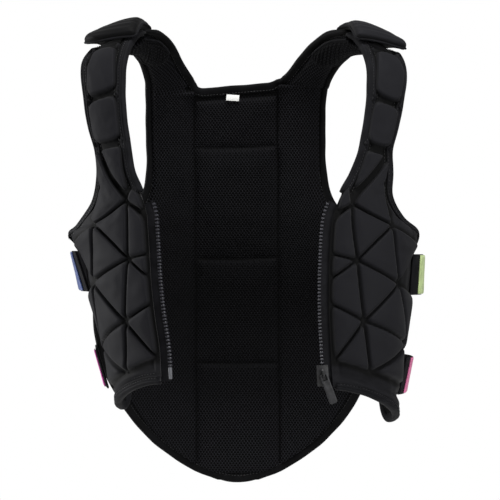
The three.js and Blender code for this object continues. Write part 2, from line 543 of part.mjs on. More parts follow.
// The zip's loose end on the left: a straight pin beside the tape
{
  const { frameAt, end, middle } = zipBottom.left;
  const frames = [frameAt(end + 0.4), frameAt(end + 7), frameAt(end + 13.5)];
  const base = TAPE_WIDTH + GAP;
  const section = [[base, middle + 2], [base + 2.6, middle + 2], [base + 3.6, middle + 1], [base + 3.6, middle - 1], [base + 2.6, middle - 2], [base, middle - 2]];
  add("zip_pin_left", plainGeometry(turned(sweep(frames, section, false))), cloth(0xa6a8ac, 0.4));
}

// The slider stands at the foot of the right zip, its mouth round the tape; the pull tab hangs on its bail
const sliderAt = (() => {
  const { frameAt, end, middle } = zipBottom.right;
  const top = frameAt(end + 0.5), foot = frameAt(end + 0.5 + SLIDER.tall);
  const axis = top.at.clone().sub(foot.at).normalize();
  const out = frameAt(end + SLIDER.tall / 2).out.clone().normalize();
  const up = new THREE.Vector3().crossVectors(axis, out).normalize();
  if (up.y > 0) up.negate();
  const across = new THREE.Vector3().crossVectors(axis, up).normalize();
  const centre = frameAt(end + 0.5 + SLIDER.tall / 2);
  const at = centre.at.clone().addScaledVector(centre.out, TAPE_WIDTH + GAP + 1.8).addScaledVector(centre.up, middle);
  return { at, basis: new THREE.Matrix4().makeBasis(across, up.clone().negate(), axis), tapeSide: Math.sign(out.dot(across)) * -1 };
})();
const zip = new THREE.Group();
zip.position.copy(sliderAt.at);
zip.quaternion.setFromRotationMatrix(sliderAt.basis);
model.add(zip);
{
  const { wide, tall, plate, mouth, wedge } = SLIDER, w = wide / 2, m = mouth / 2 + 0.6, h = m + plate, s = sliderAt.tapeSide;
  const outline = new THREE.Shape([
    [s * w, -h], [s * w, -m], [s * (w - 6.2), -m], [s * (w - 6.2), m], [s * w, m], [s * w, h],
    [s * (1 - w), h], [-s * w, h - 1], [-s * w, 1 - h], [s * (1 - w), -h],
  ].map(([x, y]) => new THREE.Vector2(x, y)));
  const body = new THREE.ExtrudeGeometry(outline, { depth: tall, bevelEnabled: false });
  body.translate(0, 0, -tall / 2);
  const bailShape = new THREE.Shape([[-BAIL.tall / 2, 0], [BAIL.tall / 2, 0], [BAIL.tall / 2, BAIL.high - 1], [BAIL.tall / 2 - 1.2, BAIL.high], [1.2 - BAIL.tall / 2, BAIL.high], [-BAIL.tall / 2, BAIL.high - 1]].map(([x, y]) => new THREE.Vector2(x, y)));
  bailShape.holes.push(new THREE.Path([[-BAIL.tall / 2 + 1.5, 0.6], [BAIL.tall / 2 - 1.5, 0.6], [BAIL.tall / 2 - 1.5, BAIL.high - 1.2], [-BAIL.tall / 2 + 1.5, BAIL.high - 1.2]].map(([x, y]) => new THREE.Vector2(x, y))));
  const bail = new THREE.ExtrudeGeometry(bailShape, { depth: BAIL.wide, bevelEnabled: false });
  bail.translate(0, 0, -BAIL.wide / 2);
  bail.applyMatrix4(new THREE.Matrix4().makeBasis(new THREE.Vector3(0, 0, 1), new THREE.Vector3(0, -1, 0), new THREE.Vector3(1, 0, 0)));
  bail.rotateY(-PULL.lean / 2 * RAD);
  bail.translate(0, 0.3 - h, 3);
  const bare = (geometry) => {
    const flat = geometry.index ? geometry.toNonIndexed() : geometry;
    const p = flat.getAttribute("position"), out = [];
    for (let i = 0; i < p.count; i += 3) out.push([0, 1, 2].map((k) => new THREE.Vector3().fromBufferAttribute(p, i + k)));
    return solid(turned(out));
  };
  const slider = new THREE.Mesh(joinedGeometry(bare(body).add(bare(bail))), cloth(0x1d1d20, 0.4));
  slider.name = "zip_slider";
  zip.add(slider);

  // The pull tab: a flat tab with a slot whose upper bar lies inside the bail
  const pivot = new THREE.Vector3(0, -h - 1.5, 3 - BAIL.tall / 2 + 1.5 + BAIL.bar / 2 + 0.8);
  const tab = new THREE.Shape();
  const hw = PULL.wide / 2, topZ = BAIL.bar / 2, r = 2.5;
  tab.moveTo(-hw + 1.2, topZ);
  tab.lineTo(hw - 1.2, topZ);
  tab.lineTo(hw, topZ - 1.2);
  tab.lineTo(hw, topZ - PULL.tall + r);
  tab.quadraticCurveTo(hw, topZ - PULL.tall, hw - r, topZ - PULL.tall);
  tab.lineTo(-hw + r, topZ - PULL.tall);
  tab.quadraticCurveTo(-hw, topZ - PULL.tall, -hw, topZ - PULL.tall + r);
  tab.lineTo(-hw, topZ - 1.2);
  tab.holes.push(new THREE.Path([[-PULL.slot / 2, -BAIL.bar / 2], [-PULL.slot / 2, -PULL.slotTall], [PULL.slot / 2, -PULL.slotTall], [PULL.slot / 2, -BAIL.bar / 2]].map(([x, y]) => new THREE.Vector2(x, y))));
  const flatTab = new THREE.ExtrudeGeometry(tab, { depth: PULL.thick, bevelEnabled: false, curveSegments: 4 });
  flatTab.translate(0, 0, -PULL.thick / 2);
  flatTab.rotateX(Math.PI / 2);
  const cut = bare(flatTab);
  // thins the bar so that it turns inside the bail
  const shave = (y0, y1) => {
    const box = new THREE.BoxGeometry(PULL.slot, y1 - y0, 3);
    box.translate(0, (y0 + y1) / 2, 0.6);
    return bare(box);
  };
  const thin = BAIL.bar / 2;
  const pull = new THREE.Mesh(joinedGeometry(cut.subtract(shave(thin, 3)).subtract(shave(-3, -thin))), cloth(0x3a3a3e, 0.45));
  pull.name = "zip_pull";
  const hinge = new THREE.Group();
  hinge.position.copy(pivot);
  hinge.rotation.y = -PULL.lean * RAD;
  hinge.add(pull);
  zip.add(hinge);
}

// Back panel with its three columns of pads, and the binding round its whole edge
{
  const strapSteps = 6, bodySteps = 12, half = 2, sideSteps = 4, lastRow = BACK_ROWS.length - 1.22;
  const ts = [];
  for (let k = 0; k <= strapSteps; k++) ts.push(0.12 + (NECKLINE - 0.12) * k / strapSteps);
  for (let k = 1; k <= bodySteps; k++) ts.push(NECKLINE + (lastRow - NECKLINE) * k / bodySteps);
  const acrossAt = (t) => {
    const rim = BINDING + GAP;
    const arm = column(BACK_ROWS, "arm", t) - rim;
    const seam = t < NECKLINE + 0.01 ? Math.max(column(BACK_ROWS, "neck", t) + rim, 50) : Math.min(SEAM_AT, arm * 0.7);
    const inner = [], outer = [];
    for (let k = 0; k < half; k++) inner.push(seam * k / half);
    for (let k = 0; k <= sideSteps; k++) outer.push(seam + (arm - seam) * k / sideSteps);
    const right = [...inner, ...outer];
    return [...right.slice(1).reverse().map((s) => -s), ...right];
  };
  const grid = (lift) => ts.map((t) => acrossAt(t).map((s) => back(t, s, lift)));
  const top = grid(BACK_HALF), bottom = grid(-BACK_HALF), wide = top[0].length - 1;
  const armCells = sideSteps;
  const keep = (i, j) => i >= strapSteps || j < armCells || j >= wide - armCells;
  let panel = solid(turned(slab(top, bottom, keep, false)));
  const seamGap = 2, rim = 9;
  const centrePads = [[66, 125], [128.5, 265.5], [269, 396.5], [400, 532]];
  const arm = (t) => column(BACK_ROWS, "arm", t);
  for (const [relief, foot, rows] of [[-BACK_HALF - PAD_RELIEF, 0.5, 13], [BACK_HALF + BACK_RELIEF, -0.5, 9]]) {
    for (const [from, to] of centrePads) {
      const first = rowAtDepth(BACK_ROWS, from), last = rowAtDepth(BACK_ROWS, to);
      const side = (t) => Math.min(SEAM_AT - seamGap, arm(t) - rim);
      panel = panel.add(backPad(first, last, 3, 2, (t) => -side(t), side, foot, relief));
    }
    const last = rowAtDepth(BACK_ROWS, 500);
    const near = (t) => Math.max(SEAM_AT + seamGap, column(BACK_ROWS, "neck", t) + rim);
    const far = (t) => Math.max(arm(t) - rim, SEAM_AT + seamGap + 8);
    panel = panel.add(backPad(0.5, last, rows, 2, near, far, foot, relief));
    panel = panel.add(backPad(0.5, last, rows, 2, (t) => -far(t), (t) => -near(t), foot, relief));
  }
  const spot = (i, j, ii, jj) => ({ top: top[i][j], bottom: bottom[i][j], inside: top[ii][jj] });
  const path = [], low = ts.length - 1, left = armCells, right = wide - armCells;
  for (let i = 0; i < low; i++) path.push(spot(i, wide, Math.max(i, 1), wide - 1));
  for (let j = wide; j > 0; j--) path.push(spot(low, j, low - 1, Math.min(Math.max(j, 1), wide - 1)));
  for (let i = low; i > 0; i--) path.push(spot(i, 0, Math.min(i, low - 1), 1));
  for (let j = 0; j < left; j++) path.push(spot(0, j, 1, Math.max(j, 1)));
  for (let i = 0; i < strapSteps; i++) path.push(spot(i, left, Math.max(i, 1), left - 1));
  for (let j = left; j < right; j++) path.push(spot(strapSteps, j, strapSteps + 1, j === left ? j - 1 : j));
  for (let i = strapSteps; i > 0; i--) path.push(spot(i, right, i === strapSteps ? i + 1 : i, right + 1));
  for (let j = right; j < wide; j++) path.push(spot(0, j, 1, Math.max(j, right + 1)));
  const section = [[BINDING_GAP, 1.2], [BINDING, -0.8], [BINDING, 0.8 - 2 * BACK_HALF], [BINDING_GAP, -1.2 - 2 * BACK_HALF]];
  const room = [[BINDING_GAP - GAP, 1.5], [BINDING, 1.5], [BINDING, -1.5 - 2 * BACK_HALF], [BINDING_GAP - GAP, -1.5 - 2 * BACK_HALF]];
  panel = panel.subtract(solid(turned(sweep(edgeFrames(path, true), room, true))));
  add("back_panel", joinedGeometry(filled(panel)), cloth(0x151517, 0.9));
  add("back_binding", plainGeometry(turned(sweep(edgeFrames(path, true), section, true))), cloth(0x0f0f11, 0.9));
}

// Shoulder flaps over both crests
for (const [name, rows, side] of [["left", LEFT_FLAP, -1], ["right", RIGHT_FLAP, 1]]) {
  const at = lifted((t, s) => frontPoint(rows, side, t, s), side, rows.length - 1);
  const steps = 7, across = 7;
  const grid = (under) => Array.from({ length: steps + 1 }, (_, i) => {
    const t = (rows.length - 1) * i / steps, width = column(rows, "width", t);
    return Array.from({ length: across + 1 }, (_, j) => at(t, width * j / across, under ? -column(rows, "thick", t) : 0));
  });
  add(`shoulder_flap_${name}`, plainGeometry(turned(slab(grid(false), grid(true), () => true, false))), cloth(0x161618, 0.85));
}

// Side straps and the coloured pull tabs at their front ends
for (const { name, side, top, tall, from, bend, to, lean, colour } of SIDE_STRAPS) {
  const curve = new THREE.CubicBezierCurve(...[from, ...bend, to].map(([x, y]) => new THREE.Vector2(x, y)));
  const band = (first, last, steps, near, far, rimTop, rimLow) => {
    const grid = (off) => Array.from({ length: steps + 1 }, (_, i) => {
      const f = first + (last - first) * i / steps, p = curve.getPoint(f), d = curve.getTangent(f);
      const normal = new THREE.Vector2(side * d.y, -side * d.x);
      const tilt = -side * (lean[0] + (lean[1] - lean[0]) * f);
      return [rimTop, 0.5, rimLow].map((h) => new THREE.Vector3(p.x + normal.x * off + tilt * h, p.y + normal.y * off, top - tall * h));
    });
    return plainGeometry(turned(slab(grid(far), grid(near), () => true, false)));
  };
  add(`side_strap_${name}`, band(0, 1, 9, 0, STRAP_THICK, 0, 1), cloth(0x131315, 0.9));
  add(`strap_tab_${name}`, band(TAB_START, TAB_END, 4, STRAP_THICK + GAP, STRAP_THICK + GAP + TAB_THICK, 0.02, 0.98), cloth(colour, 0.6));
}

// The small plain label sewn inside the neckline
{
  const label = new THREE.BoxGeometry(LABEL.wide, LABEL.thick, LABEL.tall);
  const mesh = add("neck_label", label, cloth(0xf2f2f0, 0.8));
  const t = rowAtDepth(BACK_ROWS, 68), off = -BACK_HALF - PAD_RELIEF - 0.9;
  mesh.position.copy(back(t, -4, off));
  mesh.rotation.x = 8 * RAD;
  mesh.rotation.y = 4 * RAD;
}

export default model;
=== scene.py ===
# An equestrian body protector hanging open at the front: two padded front panels sewn into foam blocks,
# a padded back with a spacer-mesh lining, a separating zip hanging undone, shoulder flaps and side straps.
# Metres, +Z up, the open front faces -Y; sizes in the tables are millimetres.
import math

import bpy
import numpy as np
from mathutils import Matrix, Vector


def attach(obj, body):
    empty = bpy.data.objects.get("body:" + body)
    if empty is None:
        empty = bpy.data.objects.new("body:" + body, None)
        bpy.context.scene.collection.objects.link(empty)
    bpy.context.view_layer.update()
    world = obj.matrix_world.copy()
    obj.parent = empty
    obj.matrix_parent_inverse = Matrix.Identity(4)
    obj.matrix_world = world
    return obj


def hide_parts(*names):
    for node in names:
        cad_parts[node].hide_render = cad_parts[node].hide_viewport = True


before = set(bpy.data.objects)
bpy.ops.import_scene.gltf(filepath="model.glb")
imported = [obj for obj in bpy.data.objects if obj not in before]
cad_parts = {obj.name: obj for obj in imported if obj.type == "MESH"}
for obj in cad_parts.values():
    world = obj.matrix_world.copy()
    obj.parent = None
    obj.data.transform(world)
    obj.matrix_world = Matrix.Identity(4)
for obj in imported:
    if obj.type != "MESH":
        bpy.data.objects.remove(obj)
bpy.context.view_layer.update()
bpy.ops.object.select_all(action="DESELECT")


# Camera: a long lens straight at the open front, level with the middle of the vest.
# A square picture 0.6 m wide at the shoulder line, which is 1.2 mm to a pixel.
CAMERA_PLACE, LENS, SENSOR = (0.005, -2.4, -0.257), 144, 36
bpy.ops.object.camera_add(location=CAMERA_PLACE, rotation=(math.radians(90), 0, 0))
camera = bpy.context.object
camera.name = "photo_camera"
camera.data.lens = LENS
camera.data.sensor_width = SENSOR
bpy.context.scene.camera = camera
bpy.context.scene.view_settings.view_transform = "Standard"


# Studio: a round pale floor under the hanging vest, painted matt.
# Paper-white surroundings, with big soft lights level with the shoulders, one on the left and one in front on
# the right, a weak one straight in front and one overhead.
def linear(code, alpha=1.0):
    channels = [int(code[i:i + 2], 16) / 255 for i in (1, 3, 5)]
    return tuple(c / 12.92 if c <= 0.04045 else ((c + 0.055) / 1.055) ** 2.4 for c in channels) + (alpha,)


def add_node(material, kind, values=None, links=None, **settings):
    node = material.node_tree.nodes.new(kind)
    for name, value in settings.items():
        setattr(node, name, value)
    for name, value in (values or {}).items():
        node.inputs[name].default_value = value
    for name, source in (links or {}).items():
        material.node_tree.links.new(source, node.inputs[name])
    return node


def new_material(name, sockets):
    # what is the same everywhere is set on the shader's own sockets
    material = bpy.data.materials.new(name)
    material.use_nodes = True
    shader = material.node_tree.nodes["Principled BSDF"]
    for socket, value in sockets.items():
        shader.inputs[socket].default_value = value
    return material, shader


FLOOR_RADIUS, FLOOR_LEVEL, LIGHTS_AIM = 1.45, -0.75, Vector((0, 0, -0.25))
ROOM_LIGHT, PAPER_WHITE = 0.08, 1.0
bpy.ops.mesh.primitive_circle_add(
    vertices=96, radius=FLOOR_RADIUS, fill_type="NGON", location=(0, 0, FLOOR_LEVEL)
)
floor = bpy.context.object
floor.name = "studio_floor"
bpy.ops.object.transform_apply(location=True)
floor_paint, _ = new_material(
    "matt_white_floor_paint", {"Base Color": linear("#f4f4f2"), "Roughness": 0.9}
)
floor.data.materials.append(floor_paint)

room = bpy.data.worlds.new("paper_white_room")
room.use_nodes = True
bpy.context.scene.world = room
sky = room.node_tree.nodes["Background"]
sky.inputs["Color"].default_value = (1, 1, 1, 1)
seen = add_node(room, "ShaderNodeLightPath")
strength = add_node(
    room, "ShaderNodeMapRange", {"To Min": ROOM_LIGHT, "To Max": PAPER_WHITE},
    {"Value": seen.outputs["Is Camera Ray"]}
)
room.node_tree.links.new(strength.outputs["Result"], sky.inputs["Strength"])
for name, place, size, energy in [
    ("left_softbox", (-2.4, 0.2, 0.0), 1.3, 74),
    ("right_softbox", (1.8, -1.9, 0.1), 1.3, 45),
    ("front_softbox", (0.2, -2.5, 0.6), 0.8, 4),
    ("top_softbox", (0.1, -0.7, 1.5), 0.7, 42),
]:
    bpy.ops.object.light_add(type="AREA", location=place)
    lamp = bpy.context.object
    lamp.name = name
    lamp.data.size = size
    lamp.data.energy = energy
    lamp.rotation_euler = (LIGHTS_AIM - Vector(place)).to_track_quat("-Z", "Y").to_euler()


# Front panels: closely woven matt cloth over closed-cell foam, sewn down in grooves so that the foam stands
# up in flat-topped triangular blocks, with mesh inside. The blocks are blown up a little by a cloth
# simulation, and the sewn grooves stay where they were pressed.
FRONT_ROWS = {
    # x, y, z of the edge next to the zip; face, pitch; width, turn, dip
    "left": [
        (-118, -0.6, 8, 0, 90, 57, 8, 18), (-128, -33, -1, 12, 60, 61, 10, 15),
        (-138, -58, -26, 14, 30, 61, 14, 10), (-141, -74, -66, 16, 4, 57, 20, 4),
        (-138, -82, -110, 18, -2, 55, 24, 0), (-133, -88, -142, 20, -4, 52, 26, 0),
        (-129, -93, -166, 22, -2, 56, 30, 4), (-119, -99, -190, 23, 0, 80, 36, 12),
        (-114, -103, -210, 24, 0, 120, 46, 18), (-112, -107, -232, 24, 0, 156, 62, 8),
        (-110, -111, -262, 24, 0, 156, 82, 2), (-108, -114, -293, 24, 0, 152, 86, 2),
        (-104, -118, -330, 24, 0, 144, 98, 8), (-98, -119, -372, 24, 0, 139, 114, 24),
        (-96, -118, -412, 24, 0, 138, 128, 42),
    ],
    "right": [
        (118, -0.4, 6, 0, 90, 57, 8, 20), (129, -33, -5, 8, 60, 58, 10, 17),
        (140, -58, -32, 8, 30, 52, 14, 12), (141, -74, -72, 8, 4, 48, 18, 4),
        (136, -82, -112, 8, -2, 46, 22, 0), (130, -88, -142, 8, -4, 45, 26, 0),
        (120, -93, -168, 8, -2, 57, 32, 2), (108, -99, -190, 8, 0, 72, 40, 6),
        (102, -103, -210, 7, 0, 100, 56, 10), (98, -107, -232, 7, 0, 145, 78, 6),
        (96, -111, -262, 7, 0, 158, 98, 2), (95, -114, -293, 7, 0, 163, 109, 2),
        (95, -118, -330, 7, 0, 165, 119, 8), (97, -119, -372, 7, 0, 159, 137, 26),
        (100, -118, -420, 7, 0, 163, 152, 50),
    ],
}
# Corners of the sewn pattern: mm across the cloth from the zip side, and mm down from the crest, for the left
# panel and then the right one
CORNERS = {
    "P1": ((50, 25), (48, 26)), "P2": ((47, 11), (45, 14)), "P3": ((14, 16), (12, 21)),
    "P4": ((8.5, 70), (8, 76)), "P5": ((47, 78), (41, 86)), "Q1": ((47, 82), (41, 90)),
    "Q2": ((8.5, 75), (7.5, 81)), "Q3": ((8, 129), (6.5, 134)), "Q4": ((46, 136), (39, 141)),
    "R1": ((47, 140), (40, 147)), "R2": ((41, 143), (37, 154)), "R3": ((78, 206), (68, 209)),
    "R4": ((52, 176), (48, 176)), "S1": ((39, 140), (34, 147)), "S2": ((10, 136), (8, 141)),
    "S3": ((13, 178), (10, 176)), "S4": ((20, 191), (16, 190)), "T1": ((12, 184), (8, 181)),
    "T2": ((3, 192), (3, 192)), "T3": ((3, 214), (3, 214)), "A": ((23, 198), (19, 204)),
    "B": ((74, 221), (74, 225)), "C": ((27, 267), (32, 269)), "D": ((85, 293), (89, 295)),
    "E": ((38, 337), (40, 337)), "F": ((46, 390), (45, 390)), "G": ((98, 355), (112, 353)),
    "H": ((128, 244), (130, 246)), "I": ((128, 312), (142, 312)), "J": ((108, 391), (116, 388)),
    "K": ((126, 366), (142, 364)), "Z1": ((3, 222), (3, 222)), "Z2": ((3, 262), (3, 262)),
    "Z3": ((3, 288), (3, 290)), "Z4": ((3, 319), (3, 319)), "Z5": ((3, 381), (3, 384)),
}
BLOCKS = [
    "P1 P2 P3 P4 P5", "Q1 Q2 Q3 Q4", "R1 R2 A B R3 R4", "S1 S2 S3 S4", "T1 T2 T3 A", "A Z1 Z2 C", "A C B",
    "B C D", "C Z2 Z3", "C Z3 Z4 E", "E Z4 Z5", "E Z5 F", "C E D", "D E G", "E F G", "B D H", "D G I",
    "G K I", "F J G",
]
# The solid's thickness, the blocks' height with their steep and flat shares in mm, and the groove's width
PANEL_THICK, BLOCK_RELIEF, BLOCK_SHOULDER, BLOCK_CROWN, GROOVE = 7.0, 7.0, 2.8, 15, 1.2
BEFORE_BLOWING, LINING_LEVEL = 0.92, 0.4
BINDING = 3.7
EDGE = BINDING + 0.3
# The zip starts at this row; rows are about this many mm apart, and the hem's rear corner is this round
ZIP_TOP, ROW_STEP, HEM_CORNER = 7, 26, 24
TURN = 6.283


def row_value(rows, column, t):
    # a column of a table between its rows, on a smooth curve through them
    v = np.array([row[column] for row in rows], float)
    last = len(v) - 1
    t = np.clip(np.asarray(t, float), 0, last)
    i = np.minimum(t.astype(int), last - 1)
    f = t - i
    before = np.where(i > 0, v[np.maximum(i - 1, 0)], 2 * v[i] - v[i + 1])
    after = np.where(i + 2 <= last, v[np.minimum(i + 2, last)], 2 * v[i + 1] - v[i])
    b, c = v[i], v[i + 1]
    return 0.5 * (
        2 * b + (c - before) * f + (2 * before - 5 * b + 4 * c - after) * f ** 2
        + (3 * b - before - 3 * c + after) * f ** 3
    )


def wrapped(length, share, turn, power):
    # how far cloth reaches sideways and back when it turns by so many degrees along its length
    steps = (np.arange(20) + 0.5) / 20
    angle = np.radians(turn)[..., None] * (np.maximum(share, 0)[..., None] * steps) ** power
    return np.cos(angle).mean(-1) * length, np.sin(angle).mean(-1) * length


def eased(x):
    # from 0 to 1 along a smooth step
    x = np.clip(x, 0, 1)
    return x * x * (3 - 2 * x)


def corner_cut(from_end, radius):
    # how far a round corner of this radius draws an edge in, at a distance in mm from its end
    return radius * (1 - np.sqrt(1 - np.clip(1 - from_end / radius, 0, 1) ** 2))


def front_cloth(rows, side, t, across):
    # a point of the panel's sheet, at a row and at mm across from the zip side
    t, across = np.broadcast_arrays(np.asarray(t, float), np.asarray(across, float))
    x, y, z, face, pitch, width, turn, dip = (row_value(rows, k, t) for k in range(8))
    face, pitch = np.radians(face), np.radians(pitch)
    share = np.maximum(across, 0) / width
    along, off = wrapped(across, share, turn, 1.6)
    px = x + side * np.cos(face) * along - off * side * np.sin(face) * np.cos(pitch)
    py = y + np.sin(face) * along + off * np.cos(face) * np.cos(pitch)
    pz = z - off * np.sin(pitch) - dip * eased(share)
    return np.stack([px, py, pz], -1)


def lifted(cloth, t, across, lift, sign, last):
    # the sheet moved along its own normal, and that normal
    t, across = np.broadcast_arrays(np.asarray(t, float), np.asarray(across, float))
    down = cloth(np.minimum(t + 0.02, last), across) - cloth(np.maximum(t - 0.02, 0), across)
    over = cloth(t, across + 0.5) - cloth(t, across - 0.5)
    normal = np.cross(over, down)
    normal *= sign / np.maximum(np.linalg.norm(normal, axis=-1, keepdims=True), 1e-9)
    return cloth(t, across) + normal * np.asarray(lift, float)[..., None], normal


def inside_by(points, outline, crisp):
    # distance to the outline in mm, less at its corners, so that they come out rounded
    shares = np.zeros(points.shape[:-1])
    inside = np.zeros(points.shape[:-1], bool)
    for k, a in enumerate(outline):
        b = outline[(k + 1) % len(outline)]
        a, b = np.array(a, float), np.array(b, float)
        f = np.clip(((points - a) @ (b - a)) / ((b - a) @ (b - a)), 0, 1)
        shares += np.exp(-crisp * np.linalg.norm(points - a - f[..., None] * (b - a), axis=-1))
        crosses = (a[1] > points[..., 1]) != (b[1] > points[..., 1])
        slope = (b[0] - a[0]) / (b[1] - a[1]) if b[1] != a[1] else 0.0
        inside ^= crosses & (points[..., 0] < a[0] + slope * (points[..., 1] - a[1]))
    nearest = -np.log(np.maximum(shares, 1e-300)) / crisp
    return np.where(inside, nearest, -nearest)


def ripple(u, v, seed, size):
    # soft repeatable unevenness, made of a few crossing waves
    chance = np.random.RandomState(seed)
    total = 0
    for _ in range(7):
        angle, phase, stretch = chance.uniform(0, math.pi), chance.uniform(0, 6.28), chance.uniform(0.6, 1.7)
        total = total + np.sin((u * math.cos(angle) + v * math.sin(angle)) * TURN * stretch / size + phase)
    return total / 7


def grid_faces(rows, columns, first=0, flip=False, keep=None):
    # the faces between the points of a grid, or only those that are kept
    i, j = np.meshgrid(np.arange(rows), np.arange(columns), indexing="ij")
    a = first + i * (columns + 1) + j
    faces = np.stack([a, a + columns + 1, a + columns + 2, a + 1], -1)
    faces = faces[keep] if keep is not None else faces.reshape(-1, 4)
    return faces[:, ::-1] if flip else faces


def grid_rim(rows, columns):
    # the points round the edge of a grid, in order
    ring = [(i, 0) for i in range(rows)] + [(rows, j) for j in range(columns)]
    ring += [(i, columns) for i in range(rows, 0, -1)] + [(0, j) for j in range(columns, 0, -1)]
    return [i * (columns + 1) + j for i, j in ring]


def two_sided_faces(rows, columns):
    # two grids back to back, with a rim between them
    count = (rows + 1) * (columns + 1)
    rim = grid_rim(rows, columns)
    faces = grid_faces(rows, columns).tolist() + grid_faces(rows, columns, count, True).tolist()
    return faces + [[b, a, a + count, b + count] for a, b in zip(rim, rim[1:] + rim[:1])]


def sheets(*grids):
    # the points of several grids in one list
    return np.concatenate([grid.reshape(-1, grid.shape[-1]) for grid in grids])


def faced_out(piece):
    # every face turned outward
    bpy.ops.object.select_all(action="DESELECT")
    bpy.context.view_layer.objects.active = piece
    piece.select_set(True)
    bpy.ops.object.mode_set(mode="EDIT")
    bpy.ops.mesh.select_all(action="SELECT")
    bpy.ops.mesh.normals_make_consistent(inside=False)
    bpy.ops.object.mode_set(mode="OBJECT")
    piece.select_set(False)


def blown_up(upper, lower, held, pressure, cap, frames=16):
    # a closed cloth bag between two grids in mm, pinned where held is 1; gives how far each upper point moved
    rows, columns = upper.shape[0] - 1, upper.shape[1] - 1
    count = upper.shape[0] * upper.shape[1]
    points = sheets(upper, lower) / 1000
    faces = grid_faces(rows, columns).tolist() + grid_faces(rows, columns, count, True).tolist()
    rim = grid_rim(rows, columns)
    faces += [[b, b + count, a + count, a] for a, b in zip(rim, rim[1:] + rim[:1])]
    mesh = bpy.data.meshes.new("foam_bag")
    mesh.from_pydata(points.tolist(), [], faces)
    bag = bpy.data.objects.new("foam_bag", mesh)
    bpy.context.collection.objects.link(bag)
    faced_out(bag)
    group = bag.vertex_groups.new(name="sewn_down")
    hold = np.concatenate([held.reshape(-1), np.ones(count)])
    for level in (1.0, 0.5, 0.2):
        chosen = np.nonzero(np.abs(hold - level) < 0.01)[0].tolist()
        group.add(chosen, level, "REPLACE")
    cloth = bag.modifiers.new("blow_up", "CLOTH")
    cloth.settings.vertex_group_mass = "sewn_down"
    cloth.settings.use_pressure = True
    cloth.settings.uniform_pressure_force = pressure
    cloth.settings.effector_weights.gravity = 0
    cloth.settings.quality = 4
    cloth.settings.tension_stiffness = 12
    cloth.settings.compression_stiffness = 12
    cloth.settings.bending_stiffness = 0.6
    cloth.settings.shrink_min = -0.02
    cloth.point_cache.frame_start, cloth.point_cache.frame_end = 1, frames
    for number in range(1, frames + 1):
        bpy.context.scene.frame_set(number)
    done = bag.evaluated_get(bpy.context.evaluated_depsgraph_get()).to_mesh()
    after = np.empty(len(done.vertices) * 3)
    done.vertices.foreach_get("co", after)
    moved = np.nan_to_num(after.reshape(-1, 3)[:count] * 1000 - upper.reshape(-1, 3))
    length = np.linalg.norm(moved, axis=1, keepdims=True)
    moved *= np.minimum(1, cap / np.maximum(length, 1e-6))
    bpy.context.scene.frame_set(1)
    bpy.data.objects.remove(bag)
    bpy.data.meshes.remove(mesh)
    moved = moved.reshape(upper.shape)
    for _ in range(5):
        # foam carries the cloth, so small crumples are evened out
        around = np.pad(moved, ((1, 1), (1, 1), (0, 0)), mode="edge")
        moved = (around[:-2, 1:-1] + around[2:, 1:-1] + around[1:-1, :-2] + around[1:-1, 2:]) / 8 + moved / 2
    return moved


def finer(values, rows, columns):
    # the same field on a grid with more points
    i = np.linspace(0, values.shape[0] - 1, rows + 1)
    j = np.linspace(0, values.shape[1] - 1, columns + 1)
    a, b = np.minimum(i.astype(int), values.shape[0] - 2), np.minimum(j.astype(int), values.shape[1] - 2)
    f, g = eased(i - a)[:, None, None], eased(j - b)[None, :, None]
    v = values.reshape(values.shape[0], values.shape[1], -1)
    top = v[a][:, b] * (1 - g) + v[a][:, b + 1] * g
    low = v[a + 1][:, b] * (1 - g) + v[a + 1][:, b + 1] * g
    return (top * (1 - f) + low * f).reshape((rows + 1, columns + 1) + values.shape[2:])


def piece_from(name, points, faces, material, uv=None, painted_shade_level=None, smooth=True):
    # an object from points in mm, with cloth coordinates in cm and a level from 0 to 1 that paints light and
    # shade into its colour, mostly following how far the foam is raised
    mesh = bpy.data.meshes.new(name)
    mesh.from_pydata(
        (np.asarray(points).reshape(-1, 3) / 1000).tolist(), [],
        [[int(v) for v in face] for face in faces]
    )
    piece = bpy.data.objects.new(name, mesh)
    bpy.context.collection.objects.link(piece)
    mesh.materials.append(material)
    if uv is not None:
        corners = np.empty(len(mesh.loops), int)
        mesh.loops.foreach_get("vertex_index", corners)
        layer = mesh.uv_layers.new(name="cloth")
        layer.data.foreach_set("uv", np.asarray(uv, float).reshape(-1, 2)[corners].reshape(-1))
    if painted_shade_level is not None:
        level = mesh.attributes.new("painted_shade_level", "FLOAT", "POINT")
        level.data.foreach_set("value", np.asarray(painted_shade_level, float).reshape(-1))
    if smooth:
        mesh.polygons.foreach_set("use_smooth", [True] * len(mesh.polygons))
    mesh.update()
    return piece


def set_tones(ramp, low, high):
    # each tone is a position on the ramp and a colour
    for stop, (position, colour) in zip(ramp.color_ramp.elements, (low, high)):
        stop.position, stop.color = position, colour


def fade_colour(material, shader, noise, low, high):
    # a soft noise takes the colour from one tone to another, as dye and wear do
    coords = add_node(material, "ShaderNodeTexCoord")
    fade = add_node(material, "ShaderNodeTexNoise", noise, {"Vector": coords.outputs["Object"]})
    ramp = add_node(material, "ShaderNodeValToRGB", {}, {"Fac": fade.outputs["Fac"]})
    set_tones(ramp, low, high)
    material.node_tree.links.new(ramp.outputs["Color"], shader.inputs["Base Color"])
    return coords
